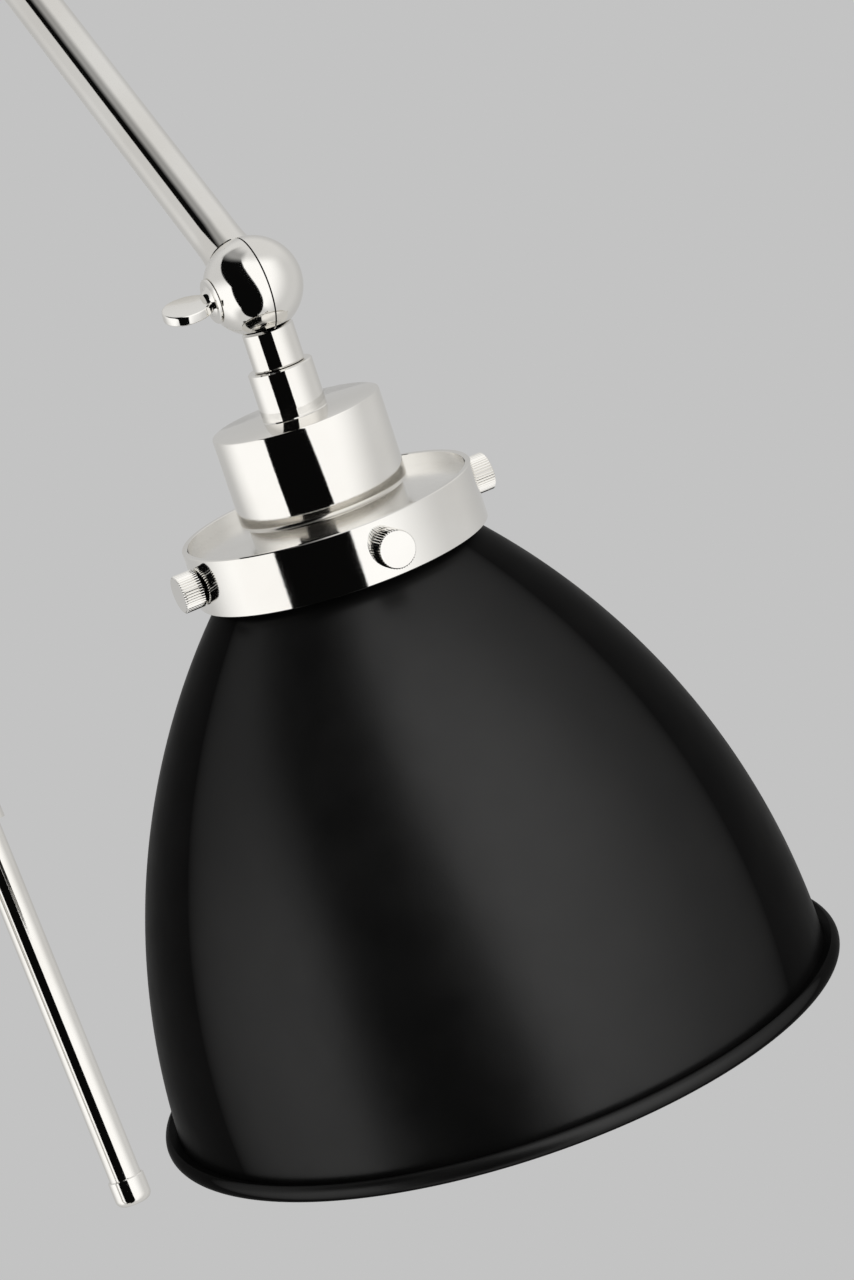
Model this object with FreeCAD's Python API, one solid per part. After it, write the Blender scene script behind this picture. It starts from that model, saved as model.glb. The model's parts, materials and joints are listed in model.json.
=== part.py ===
import FreeCAD, Part
import math
import os

# Adjustable arm floor lamp: a weighted round base, a two-piece stem, a swivelling ball joint at the
# stem top that carries the lower arm beside it, an elbow ball, an upper arm, a head ball and a spun
# dome shade held in a fitter ring by four thumbscrews. All sizes are in millimetres, +Z is up, and
# the origin is the centre of the base's underside.

V = FreeCAD.Vector

# --- overall layout -------------------------------------------------------------------------------
STEM_BALL_HEIGHT = 885.0      # floor to the centre of the stem-top ball
LOWER_ARM_REACH = 738.0       # saddle centre to elbow centre
LOWER_ARM_TAIL = 170.0        # saddle centre to the tip of the tail cap
UPPER_ARM_REACH = 845.0       # elbow centre to head ball centre

# --- rest pose, degrees ---------------------------------------------------------------------------
STEM_YAW = 16.2               # heading of the arm pivots' level component, from +X
ARM_PLANE_TILT = 23.5         # rise of the arm pivots above level
LOWER_ARM_LEAN = 3.6          # lower arm from straight up, within the arm plane
UPPER_ARM_LEAN = 39.2         # upper arm from straight down, within the arm plane
SHADE_LEAN = 14.9             # shade axis from straight down, the other way

# --- clearances -----------------------------------------------------------------------------------
RUNNING_FIT = 0.06            # radial gap of a shaft that turns in its bore
FACE_GAP = 0.3                # gap between faces of pieces that move against each other
SWIVEL_GAP = 0.15             # hairline between the two neck collars
OVERCUT = 1.0                 # how far a cutting shape runs past what it cuts

# --- base -----------------------------------------------------------------------------------------
BASE_RADIUS = 146.0
BASE_HEIGHT = 23.0
BASE_SHOULDER = 6.0           # radius of the cover's rounded shoulder
BASE_WALL = 1.5
WEIGHT_SIDE_GAP = 1.5
PAD_THICKNESS = 2.0
PAD_INSET = 4.0
COVER_LIFT = 1.0              # the cover's lower edge above the floor
TIE_POCKET_RADIUS = 20.0
TIE_POCKET_DEPTH = 9.0
TIE_NIPPLE_RADIUS = 5.0
TIE_NIPPLE_BORE = 3.2
TIE_WASHER_RADIUS = 17.0
TIE_WASHER_THICKNESS = 2.0
TIE_NUT_FLATS = 17.0
TIE_NUT_THICKNESS = 5.0
GROMMET_HOLE_RADIUS = 4.8
GROMMET_BORE = 3.3
GROMMET_FLANGE_RADIUS = 6.4
GROMMET_FLANGE = 2.0
GROMMET_HEIGHT = 10.0         # grommet axis above the floor
GROMMET_TAIL = 3.5            # how far the grommet reaches in from the cover's outside
CORD_CHANNEL_WIDTH = 11.0
TIE_NIPPLE_RISE = 34.0        # nipple above the cover
TIE_NIPPLE_DROP = 0.5         # nipple below its nut

# --- stem -----------------------------------------------------------------------------------------
STEM_RADIUS = 9.525
STEM_WALL = 1.5
FOOT_COLLAR_RADIUS = 24.0
FOOT_COLLAR_HEIGHT = 14.0
FOOT_COLLAR_RIM = 3.0         # straight rim below the collar's cove
FOOT_COLLAR_LEDGE = 1.0       # flat between the rim and the cove
FOOT_COLLAR_WAIST = 2.5       # metal around the stem at the collar's top
FOOT_COLLAR_FLOOR = 4.0       # metal under the stem
FOOT_PLUG_LENGTH = 26.0
STEM_SPLIT_HEIGHT = 455.0     # where the two stem tubes meet
SPLIT_RING_RADIUS = STEM_RADIUS + 2.075
SPLIT_RING_LENGTH = 14.0
SPLIT_RING_CHAMFER = 1.0
COUPLER_LENGTH = 44.0
HEAD_COLLAR_RADIUS = STEM_RADIUS + 2.975
HEAD_COLLAR_LENGTH = 15.0
HEAD_PLUG_LENGTH = 16.0
SPINDLE_RADIUS = 5.0
SPINDLE_FLANGE_RADIUS = 10.4
SPINDLE_FLANGE_LENGTH = 5.0
SPINDLE_FLANGE_EDGE = 1.0
SPINDLE_NUT_RADIUS = 7.2
SPINDLE_NUT_LENGTH = 6.0
POST_STUB_LENGTH = 10.0       # plain neck between the stem-top ball and the spindle flange

# --- arm tubes and ball joints --------------------------------------------------------------------
ARM_RADIUS = 6.35
ARM_WALL = 1.1
ARM_STUB_LENGTH = 13.0        # solid end of a ball half, from the ball's surface to the tube
ARM_PLUG_LENGTH = 16.0
STUB_ROOT = 1.0               # how deep a stub is rooted in its ball's wall
STUB_FLARE = 0.7              # how much an arm stub widens where it meets its ball
STUB_FLARE_LENGTH = 8.0
STUB_FLARE_ROOT = 2.0
BALL_RADIUS = 12.7
ELBOW_BALL_RADIUS = 19.05
SEAM_GAP = 0.4                # open seam between the two halves of a ball
COPE_GAP = 0.3                # gap between a stub's coped end and the other half's ball
SEAM_LIP = 1.3                # ball wall outside the friction washer
WASHER_WIDTH = 2.4
WASHER_RECESS = 0.5           # depth of the washer's seat in each half
WASHER_PLAY = 0.05
WASHER_LEDGE = 0.15           # step between the washer's seat and the wire pocket
PIVOT_POST_RADIUS = 4.6
WIRE_POCKET_DEPTH = 5.5
WIRE_BORE = 2.6
WIRE_BORE_START = 5.6         # from the ball's centre, clear of the pivot post

# --- wing screws of the ball joints ---------------------------------------------------------------
PIVOT_SCREW_RADIUS = 2.45
PIVOT_SCREW_DEPTH = 7.5       # how far the screw reaches beyond the seam
WING_SEAT_RADIUS = 6.1        # flat on the ball under the wing screw's disc
WING_DISC_RADIUS = 5.9
WING_DISC_THICKNESS = 1.0
WING_CONE_RADIUS = 4.1
WING_CONE_HEIGHT = 1.6
WING_NECK_RADIUS = 2.6
WING_SHOULDER = 4.6           # half width of the leaf where its outline swells
WING_SHOULDER_HEIGHT = 2.2
WING_LENGTH = 13.8           # ball seat to the tip of the leaf
WING_WIDTH = 11.5
WING_THICKNESS = 2.7
WING_EDGE = 0.6
HEAD_WING_ROLL = 73.0         # leaf plane about the screw axis, degrees from the arm stub
PLAIN_WING_ROLL = 25.0

# --- saddle beside the stem-top ball --------------------------------------------------------------
SADDLE_OFFSET = 30.0          # ball centre to lower arm axis
SADDLE_BOSS_RADIUS = 8.0
SADDLE_SLEEVE_RADIUS = ARM_RADIUS + 2.65
SADDLE_SLEEVE_LENGTH = 28.0
SADDLE_FLOOR = 1.6            # metal between the spigot's bore and the arm tube
SPIGOT_RADIUS = 4.4
SADDLE_LOCK_HEIGHT = 18.5     # ball centre to the axis of the saddle's thumbscrew
GRUB_RADIUS = 1.5
GRUB_INSET = 0.5
GRUB_SPACING = 18.0

# --- tail cap -------------------------------------------------------------------------------------
TAIL_CAP_RADIUS = ARM_RADIUS + 0.85
TAIL_CAP_LENGTH = 10.8
TAIL_CAP_ROUND = 3.2
TAIL_CAP_FLOOR = 3.8          # solid end of the cap, below the tube
TAIL_CAP_LIP = 0.3            # chamfer at the cap's open rim
TAIL_CAP_PLUG = 9.0

# --- head: distances along the shade axis from the head ball's centre -------------------------------
NECK_FACE = BALL_RADIUS - 1.2       # top of the narrow collar
NECK_SPOT_FACE = BALL_RADIUS - 1.8  # flat on the neck half of the ball
NECK_COLLAR_RADIUS = 6.75
NECK_COLLAR_END = 21.35
NECK_SLEEVE_RADIUS = 8.5
CUP_TOP = 34.15
CUP_RADIUS = 22.2
CUP_HEIGHT = 24.7
CUP_WALL = 1.3
CUP_TOP_THICKNESS = 2.0
CUP_TOP_EDGE = 0.4
CUP_LOWER_EDGE = 2.0
FITTER_NECK_RADIUS = 20.6
FITTER_PLATE_TOP = 62.3
FITTER_PLATE_THICKNESS = 1.0
SHADE_NECK_RADIUS = 33.5
RING_RADIUS = SHADE_NECK_RADIUS + 5.1
RING_WALL = 1.5
RING_TOP = 59.1
RING_BOTTOM = 74.5
NECK_NUT_RADIUS = 7.4
NECK_NUT_LENGTH = 5.0
NECK_THREAD_END = 1.0         # spigot beyond its nut

# --- lampholder -----------------------------------------------------------------------------------
HOLDER_TOP = 44.0
HOLDER_END = 80.0
HOLDER_RADIUS = 17.0
HOLDER_FLOOR = 9.0
SCREW_SHELL_BORE = 13.1
SCREW_SHELL_WALL = 0.5
SHELL_END_INSET = 2.0
CONTACT_RADIUS = 4.0
CONTACT_HEIGHT = 2.5
TERMINAL_RADIUS = 2.0
TERMINAL_LENGTH = 3.0
TERMINAL_PROUD = 1.0
TERMINAL_SPREAD = 11.0

# --- shade, in a frame whose origin is the centre of the ring's lower edge ---------------------------
SHADE_WALL = 1.2
SHADE_ARC_RADIUS = 198.4
SHADE_START_SLOPE = 43.8      # degrees from the shade axis where the dome leaves the neck
SHADE_DEPTH = 133.9           # ring's lower edge to the centre of the rim bead
BEAD_RADIUS = 2.35
BEAD_OFFSET = 1.48            # bead's centre outside the dome's last point
SHADE_LIP_RADIUS = SHADE_NECK_RADIUS + 3.0
SHADE_LIP_TOP = 10.9
SHADE_LIP_THICKNESS = 1.0

# --- thumbscrews ----------------------------------------------------------------------------------
THUMB_COUNT = 4
THUMB_HEAD_RADIUS = 5.0
THUMB_HEAD_LENGTH = 5.6
THUMB_SHANK_RADIUS = 1.5
THUMB_TIP_GAP = 0.5
KNURL_TEETH = 40
KNURL_DEPTH = 0.35
THUMB_HEIGHT = (RING_TOP + RING_BOTTOM) / 2

# --- wires inside the tubes -----------------------------------------------------------------------
WIRE_RADIUS = 1.9
WIRE_END_GAP = 6.0


# ================================================================================================
# Helpers
# ================================================================================================

def polar(angle, radius=1.0):
    """A level vector at an angle in degrees."""
    return V(radius * math.cos(math.radians(angle)), radius * math.sin(math.radians(angle)), 0)


def frame(origin, z_axis, x_axis):
    """Placement whose local Z points along z_axis, and local X as near x_axis as it can."""
    z = V(z_axis).normalize()
    y = z.cross(x_axis).normalize()
    x = y.cross(z)
    return FreeCAD.Placement(V(origin), FreeCAD.Rotation(x, y, z, "ZXY"))


def placed(shape, place):
    moved = shape.copy()
    moved.Placement = place.multiply(moved.Placement)
    return moved


def rod(radius, start, end):
    """Cylinder about local Z."""
    return Part.makeCylinder(radius, end - start, V(0, 0, start))


def tube(outer, inner, start, end):
    return rod(outer, start, end).cut(rod(inner, start - OVERCUT, end + OVERCUT))


def cross_rod(radius, start, end, height=0.0):
    """Cylinder along local X at the given local Z."""
    return Part.makeCylinder(radius, end - start, V(start, 0, height), V(1, 0, 0))


def rear_rod(radius, start, end, height):
    """Cylinder along +Y at the given height."""
    return Part.makeCylinder(radius, end - start, V(0, start, height), V(0, 1, 0))


def outline(start, *steps):
    """Face in the XZ plane. A step is (r, z) for a line or ((r, z), (r, z)) for an arc by a point."""
    def at(point):
        return V(point[0], 0, point[1])

    edges = []
    last = start
    for step in steps + (start,):
        if isinstance(step[0], tuple):
            edges.append(Part.Arc(at(last), at(step[0]), at(step[1])).toShape())
            last = step[1]
        elif step != last:
            edges.append(Part.LineSegment(at(last), at(step)).toShape())
            last = step
    return Part.Face(Part.Wire(edges))


def turned(start, *steps):
    """Solid of revolution about local Z from an outline of (radius, z) points."""
    return outline(start, *steps).revolve(V(0, 0, 0), V(0, 0, 1), 360)


def hexagon(flats, bore, start, end):
    """Hexagonal nut about local Z."""
    corner = flats / math.sqrt(3)
    points = [polar(60 * i, corner) + V(0, 0, start) for i in range(7)]
    body = Part.Face(Part.makePolygon(points)).extrude(V(0, 0, end - start))
    return body.cut(rod(bore, start - OVERCUT, end + OVERCUT))


def on_arc(centre, radius, angle):
    """Point of an arc in the XZ plane, the angle measured from +X towards +Z."""
    return (centre[0] + radius * math.cos(math.radians(angle)),
            centre[1] + radius * math.sin(math.radians(angle)))


def half_space(side, gap=SEAM_GAP):
    """Large block on one side of the seam plane, kept back from it by half the gap."""
    size = 200.0
    height = gap / 2 if side > 0 else -gap / 2 - size
    return Part.makeBox(size, size, size, V(-size / 2, -size / 2, height))


def knurled_head(radius, length, start):
    """Straight-knurled screw head about local Z."""
    points = []
    for i in range(2 * KNURL_TEETH + 1):
        reach = radius if i % 2 == 0 else radius - KNURL_DEPTH
        points.append(polar(180.0 * i / KNURL_TEETH, reach) + V(0, 0, start))
    return Part.Face(Part.makePolygon(points)).extrude(V(0, 0, length))


# ================================================================================================
# Ball joint pieces: local Z is the pivot axis towards the wing screw, local X is the piece's stub
# ================================================================================================

def washer_radii(ball_radius):
    outer = ball_radius - SEAM_LIP
    return outer, outer - WASHER_WIDTH


def wing_seat_height(ball_radius):
    return math.sqrt(ball_radius ** 2 - WING_SEAT_RADIUS ** 2)


def coped(shape, ball_radius, side):
    """Takes away what would foul the other half of the ball."""
    return shape.cut(Part.makeSphere(ball_radius + COPE_GAP).cut(half_space(side)))


def ball_half(ball_radius, side):
    """One half of a ball: side +1 faces the wing screw, side -1 takes its thread."""
    half = Part.makeSphere(ball_radius).common(half_space(side))
    outer, inner = washer_radii(ball_radius)
    depth = SEAM_GAP / 2 + WASHER_RECESS
    seat = tube(outer + WASHER_PLAY, inner - WASHER_PLAY, -depth, depth)
    floor = SEAM_GAP / 2 + WIRE_POCKET_DEPTH
    pocket = tube(inner - WASHER_LEDGE, PIVOT_POST_RADIUS, -floor, floor)
    bore = PIVOT_SCREW_RADIUS + RUNNING_FIT
    if side > 0:
        seat_height = wing_seat_height(ball_radius)
        half = half.cut(rod(ball_radius, seat_height, ball_radius + OVERCUT))
        hole = rod(bore, 0, ball_radius + OVERCUT)
    else:
        hole = rod(bore, -PIVOT_SCREW_DEPTH - FACE_GAP, 0)
    return half.cut(seat).cut(pocket).cut(hole)


def friction_washer(ball_radius):
    outer, inner = washer_radii(ball_radius)
    reach = SEAM_GAP / 2 + WASHER_RECESS
    return tube(outer, inner, -reach + WASHER_PLAY, reach)


def along_x(shape):
    """Turns a shape made about local Z so that it lies along local X."""
    return placed(shape, frame(V(0, 0, 0), V(1, 0, 0), V(0, 1, 0)))


def arm_half(ball_radius, side, flare):
    """Ball half with a stub that plugs into an arm tube along +X; the stub may flare at the ball."""
    end = ball_radius + ARM_STUB_LENGTH
    plug = ARM_RADIUS - ARM_WALL
    root = ball_radius - ARM_RADIUS
    stub = turned((0, root), (ARM_RADIUS + flare, root), (ARM_RADIUS + flare, ball_radius - STUB_FLARE_ROOT),
                  (ARM_RADIUS, ball_radius + STUB_FLARE_LENGTH), (ARM_RADIUS, end), (plug, end),
                  (plug, end + ARM_PLUG_LENGTH), (0, end + ARM_PLUG_LENGTH))
    stub = along_x(stub).cut(Part.makeSphere(ball_radius - STUB_ROOT))
    body = ball_half(ball_radius, side).fuse(coped(stub, ball_radius, side))
    return body.cut(cross_rod(WIRE_BORE, WIRE_BORE_START, end + ARM_PLUG_LENGTH + OVERCUT))


def spigot_half(side, end, spot_face=0.0):
    """Ball half with a round spigot along +X that a fitting turns on or screws to."""
    body = ball_half(BALL_RADIUS, side)
    if spot_face:
        body = body.cut(cross_rod(BALL_RADIUS, spot_face, BALL_RADIUS + OVERCUT))
    spigot = cross_rod(SPIGOT_RADIUS, BALL_RADIUS - SPIGOT_RADIUS, end)
    spigot = spigot.cut(Part.makeSphere(BALL_RADIUS - STUB_ROOT))
    body = body.fuse(coped(spigot, BALL_RADIUS, side))
    return body.cut(cross_rod(WIRE_BORE, WIRE_BORE_START, end + OVERCUT))


def wing_screw(ball_radius, roll):
    """Screw with an oval leaf, its leaf plane turned about the screw axis."""
    seat = wing_seat_height(ball_radius)
    disc_top = seat + WING_DISC_THICKNESS
    tip = seat + WING_LENGTH
    wide = tip - WING_WIDTH / 2
    shank = rod(PIVOT_SCREW_RADIUS, -PIVOT_SCREW_DEPTH, seat)
    disc = rod(WING_DISC_RADIUS, seat, disc_top)
    cone = Part.makeCone(WING_CONE_RADIUS, WING_NECK_RADIUS, WING_CONE_HEIGHT, V(0, 0, disc_top))
    half = WING_WIDTH / 2
    swell = disc_top + WING_SHOULDER_HEIGHT
    leaf = outline((WING_NECK_RADIUS, disc_top), ((WING_SHOULDER, swell), (half, wide)),
                   ((0, tip), (-half, wide)), ((-WING_SHOULDER, swell), (-WING_NECK_RADIUS, disc_top)))
    leaf = leaf.extrude(V(0, WING_THICKNESS, 0))
    leaf.translate(V(0, -WING_THICKNESS / 2, 0))
    rims = [edge for edge in leaf.Edges if abs(edge.CenterOfMass.y) > WING_THICKNESS / 4]
    leaf = leaf.makeFillet(WING_EDGE, rims)
    leaf.rotate(V(0, 0, 0), V(0, 0, 1), roll)
    return shank.fuse(disc).fuse(cone).fuse(leaf).removeSplitter()


def thumbscrew(seat, tip):
    """Knurled thumbscrew on +Z with its shank's tip nearest the origin and its head from seat on."""
    head = knurled_head(THUMB_HEAD_RADIUS, THUMB_HEAD_LENGTH, seat)
    return head.fuse(rod(THUMB_SHANK_RADIUS, tip, seat))


# ================================================================================================
# Axes and joint centres
# ================================================================================================

PIVOT = (polar(STEM_YAW) * math.cos(math.radians(ARM_PLANE_TILT))
         + V(0, 0, math.sin(math.radians(ARM_PLANE_TILT))))
TILT_AXIS = polar(STEM_YAW + 90)
PLANE_UP = PIVOT.cross(TILT_AXIS)


def in_plane(angle):
    """Direction in the arm plane, in degrees from the plane's up towards the stem's tilt axis."""
    return PLANE_UP * math.cos(math.radians(angle)) + TILT_AXIS * math.sin(math.radians(angle))


LOWER_UP = in_plane(-LOWER_ARM_LEAN)
UPPER_DOWN = in_plane(180 + UPPER_ARM_LEAN)
SHADE_DOWN = in_plane(180 - SHADE_LEAN)
STEM_BALL = V(0, 0, STEM_BALL_HEIGHT)
SADDLE = STEM_BALL + PIVOT * SADDLE_OFFSET
ELBOW = SADDLE + LOWER_UP * LOWER_ARM_REACH
HEAD_BALL = ELBOW + UPPER_DOWN * UPPER_ARM_REACH
CAP_SIDE = PIVOT * -1.0

POST_FRAME = frame(STEM_BALL, V(0, 0, 1), V(1, 0, 0))
SWIVEL_LOCK_DEPTH = (BALL_RADIUS + POST_STUB_LENGTH + SPINDLE_FLANGE_LENGTH + FACE_GAP
                     + HEAD_COLLAR_LENGTH / 2)
SWIVEL_LOCK_FRAME = frame(STEM_BALL - V(0, 0, SWIVEL_LOCK_DEPTH), TILT_AXIS, V(0, 0, 1))
POST_FIXED_FRAME = frame(STEM_BALL, TILT_AXIS * -1.0, V(0, 0, -1))
POST_MOVING_FRAME = frame(STEM_BALL, TILT_AXIS * -1.0, PIVOT)
SADDLE_FRAME = frame(STEM_BALL, PIVOT, LOWER_UP)
LOWER_ARM_FRAME = frame(SADDLE, LOWER_UP, PIVOT)
ELBOW_LOWER_FRAME = frame(ELBOW, CAP_SIDE, LOWER_UP * -1.0)
ELBOW_UPPER_FRAME = frame(ELBOW, CAP_SIDE, UPPER_DOWN)
UPPER_ARM_FRAME = frame(ELBOW, UPPER_DOWN, PIVOT)
HEAD_ARM_FRAME = frame(HEAD_BALL, CAP_SIDE, UPPER_DOWN * -1.0)
HEAD_NECK_FRAME = frame(HEAD_BALL, CAP_SIDE, SHADE_DOWN)
NECK_FRAME = frame(HEAD_BALL, SHADE_DOWN, PIVOT)
SHADE_FRAME = frame(HEAD_BALL + SHADE_DOWN * RING_BOTTOM, SHADE_DOWN, PIVOT)


# ================================================================================================
# Base and stem
# ================================================================================================

WEIGHT_RADIUS = BASE_RADIUS - BASE_WALL - WEIGHT_SIDE_GAP
WEIGHT_TOP = BASE_HEIGHT - BASE_WALL


def base_cover():
    inner_round = BASE_SHOULDER - BASE_WALL
    centre = (BASE_RADIUS - BASE_SHOULDER, BASE_HEIGHT - BASE_SHOULDER)
    shell = turned(
        (BASE_RADIUS, COVER_LIFT), (BASE_RADIUS, centre[1]),
        (on_arc(centre, BASE_SHOULDER, 45), (centre[0], BASE_HEIGHT)),
        (TIE_NIPPLE_RADIUS + RUNNING_FIT, BASE_HEIGHT),
        (TIE_NIPPLE_RADIUS + RUNNING_FIT, WEIGHT_TOP), (centre[0], WEIGHT_TOP),
        (on_arc(centre, inner_round, 45), (BASE_RADIUS - BASE_WALL, centre[1])),
        (BASE_RADIUS - BASE_WALL, COVER_LIFT))
    inside = BASE_RADIUS - BASE_SHOULDER
    return shell.cut(rear_rod(GROMMET_HOLE_RADIUS, inside, BASE_RADIUS + OVERCUT, GROMMET_HEIGHT))


def base_weight():
    chamfer = BASE_SHOULDER
    disc = turned((0, PAD_THICKNESS), (WEIGHT_RADIUS, PAD_THICKNESS),
                  (WEIGHT_RADIUS, WEIGHT_TOP - chamfer), (WEIGHT_RADIUS - chamfer, WEIGHT_TOP),
                  (0, WEIGHT_TOP))
    channel = Part.makeBox(CORD_CHANNEL_WIDTH, BASE_RADIUS, GROMMET_HEIGHT + CORD_CHANNEL_WIDTH / 2,
                           V(-CORD_CHANNEL_WIDTH / 2, 0, 0))
    pocket = rod(TIE_POCKET_RADIUS, 0, PAD_THICKNESS + TIE_POCKET_DEPTH)
    return disc.cut(channel).cut(pocket).cut(rod(TIE_NIPPLE_RADIUS, 0, BASE_HEIGHT))


def base_tie():
    """Nipple, washer and locknut that pull the stem down onto the base."""
    seat = PAD_THICKNESS + TIE_POCKET_DEPTH
    washer = tube(TIE_WASHER_RADIUS, TIE_NIPPLE_RADIUS, seat - TIE_WASHER_THICKNESS, seat)
    nut_top = seat - TIE_WASHER_THICKNESS
    nut = hexagon(TIE_NUT_FLATS, TIE_NIPPLE_RADIUS, nut_top - TIE_NUT_THICKNESS, nut_top)
    nipple = tube(TIE_NIPPLE_RADIUS, TIE_NIPPLE_BORE, nut_top - TIE_NUT_THICKNESS - TIE_NIPPLE_DROP,
                  BASE_HEIGHT + TIE_NIPPLE_RISE)
    return nipple, washer, nut


def cord_grommet():
    """Bushed outlet in the rear of the cover."""
    inner = BASE_RADIUS - GROMMET_TAIL
    outer = BASE_RADIUS + GROMMET_FLANGE
    seat = BASE_RADIUS - GROMMET_FLANGE
    sleeve = rear_rod(GROMMET_HOLE_RADIUS, inner, BASE_RADIUS, GROMMET_HEIGHT)
    flange = rear_rod(GROMMET_FLANGE_RADIUS, seat, outer, GROMMET_HEIGHT)
    hole = rear_rod(GROMMET_BORE, inner - OVERCUT, outer + OVERCUT, GROMMET_HEIGHT)
    return sleeve.fuse(flange.cut(rod(BASE_RADIUS, 0, BASE_HEIGHT))).cut(hole)


def stem_foot_collar():
    """Turned collar with a concave cove, bored for the stem."""
    rim = BASE_HEIGHT + FOOT_COLLAR_RIM
    top = BASE_HEIGHT + FOOT_COLLAR_HEIGHT
    waist = STEM_RADIUS + FOOT_COLLAR_WAIST
    ledge = FOOT_COLLAR_RADIUS - FOOT_COLLAR_LEDGE
    cove = (waist + (ledge - waist) * (1 - math.sqrt(0.5)), rim + (top - rim) * (1 - math.sqrt(0.5)))
    body = turned((TIE_NIPPLE_RADIUS, BASE_HEIGHT), (FOOT_COLLAR_RADIUS, BASE_HEIGHT),
                  (FOOT_COLLAR_RADIUS, rim), (ledge, rim), (cove, (waist, top)),
                  (TIE_NIPPLE_RADIUS, top))
    return body.cut(rod(STEM_RADIUS, BASE_HEIGHT + FOOT_COLLAR_FLOOR, top + OVERCUT))


def stem_pieces():
    """The two stem tubes, the plug and coupler inside them and the ring over their meeting."""
    foot = BASE_HEIGHT + FOOT_COLLAR_FLOOR
    inner = STEM_RADIUS - STEM_WALL
    top = STEM_BALL_HEIGHT - post_heights()["collar_bottom"]
    split = STEM_SPLIT_HEIGHT
    ring_start = split - SPLIT_RING_LENGTH / 2
    ring_end = split + SPLIT_RING_LENGTH / 2
    coupler_start = split - COUPLER_LENGTH / 2
    ring = turned((STEM_RADIUS, ring_start), (SPLIT_RING_RADIUS, ring_start + SPLIT_RING_CHAMFER),
                  (SPLIT_RING_RADIUS, ring_end - SPLIT_RING_CHAMFER), (STEM_RADIUS, ring_end))
    return {
        "stem_foot_plug": tube(inner, TIE_NIPPLE_RADIUS, foot, foot + FOOT_PLUG_LENGTH),
        "stem_tube_lower": tube(STEM_RADIUS, inner, foot, split),
        "stem_tube_upper": tube(STEM_RADIUS, inner, split, top),
        "stem_coupler": tube(inner, TIE_NIPPLE_RADIUS, coupler_start, coupler_start + COUPLER_LENGTH),
        "stem_split_ring": ring,
    }


def post_heights():
    """Depths below the stem-top ball's centre of the swivel's shoulders."""
    flange_top = BALL_RADIUS + POST_STUB_LENGTH
    flange_bottom = flange_top + SPINDLE_FLANGE_LENGTH
    collar_top = flange_bottom + FACE_GAP
    collar_bottom = collar_top + HEAD_COLLAR_LENGTH
    plug_bottom = collar_bottom + HEAD_PLUG_LENGTH
    return {"flange_top": flange_top, "flange_bottom": flange_bottom, "collar_top": collar_top,
            "collar_bottom": collar_bottom, "plug_bottom": plug_bottom,
            "nut_top": plug_bottom + FACE_GAP}


def stem_head_collar():
    """Collar pressed into the stem top, bored for the swivel spindle."""
    at = post_heights()
    body = rod(HEAD_COLLAR_RADIUS, -at["collar_bottom"], -at["collar_top"])
    body = body.fuse(rod(STEM_RADIUS - STEM_WALL, -at["plug_bottom"], -at["collar_bottom"]))
    body = body.cut(rod(SPINDLE_RADIUS + RUNNING_FIT, -at["plug_bottom"] - OVERCUT, 0))
    lock = Part.makeCylinder(THUMB_SHANK_RADIUS + RUNNING_FIT, 2 * HEAD_COLLAR_RADIUS,
                             V(0, 0, -SWIVEL_LOCK_DEPTH), TILT_AXIS)
    return body.cut(lock)


def swivel_lock_screw():
    seat = HEAD_COLLAR_RADIUS + FACE_GAP
    return thumbscrew(seat, SPINDLE_RADIUS + THUMB_TIP_GAP)


def post_ball_lower_half():
    """Ball half with the neck, flange and spindle that turn in the stem's head collar."""
    at = post_heights()
    root = BALL_RADIUS - ARM_RADIUS
    end = at["nut_top"] + SPINDLE_NUT_LENGTH
    neck = turned((0, root), (ARM_RADIUS, root), (ARM_RADIUS, at["flange_top"]),
                  (SPINDLE_FLANGE_RADIUS - SPINDLE_FLANGE_EDGE, at["flange_top"]),
                  (SPINDLE_FLANGE_RADIUS, at["flange_top"] + SPINDLE_FLANGE_EDGE),
                  (SPINDLE_FLANGE_RADIUS, at["flange_bottom"]), (SPINDLE_RADIUS, at["flange_bottom"]),
                  (SPINDLE_RADIUS, end), (0, end))
    neck = along_x(neck).cut(Part.makeSphere(BALL_RADIUS - STUB_ROOT))
    body = ball_half(BALL_RADIUS, -1).fuse(coped(neck, BALL_RADIUS, -1))
    return body.cut(cross_rod(WIRE_BORE, WIRE_BORE_START, end + OVERCUT))


def spindle_nut():
    top = -post_heights()["nut_top"]
    return tube(SPINDLE_NUT_RADIUS, SPINDLE_RADIUS, top - SPINDLE_NUT_LENGTH, top)


# ================================================================================================
# Arms
# ================================================================================================

def spigot_end():
    return SADDLE_OFFSET - ARM_RADIUS - SADDLE_FLOOR - FACE_GAP


def arm_saddle():
    """Boss that turns on the ball's spigot, with a sleeve across it for the lower arm."""
    start = BALL_RADIUS + FACE_GAP
    half = SADDLE_SLEEVE_LENGTH / 2
    boss = rod(SADDLE_BOSS_RADIUS, start, SADDLE_OFFSET)
    sleeve = cross_rod(SADDLE_SLEEVE_RADIUS, -half, half, SADDLE_OFFSET)
    through = cross_rod(ARM_RADIUS, -half - OVERCUT, half + OVERCUT, SADDLE_OFFSET)
    body = boss.fuse(sleeve).cut(through)
    body = body.cut(rod(SPIGOT_RADIUS + RUNNING_FIT, 0, spigot_end() + FACE_GAP))
    body = body.cut(grub_screws(-OVERCUT, OVERCUT))
    return body.cut(rear_rod(THUMB_SHANK_RADIUS + RUNNING_FIT, 0, SADDLE_OFFSET, SADDLE_LOCK_HEIGHT))


def grub_screws(inner, outer):
    """Two grub screws that hold the arm tube in the saddle, grown at each end by the amounts given."""
    start = SADDLE_OFFSET + ARM_RADIUS + inner
    end = SADDLE_OFFSET + SADDLE_SLEEVE_RADIUS + outer
    screws = []
    for along in (-GRUB_SPACING / 2, GRUB_SPACING / 2):
        screws.append(Part.makeCylinder(GRUB_RADIUS, end - start, V(along, 0, start)))
    return Part.makeCompound(screws)


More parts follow.
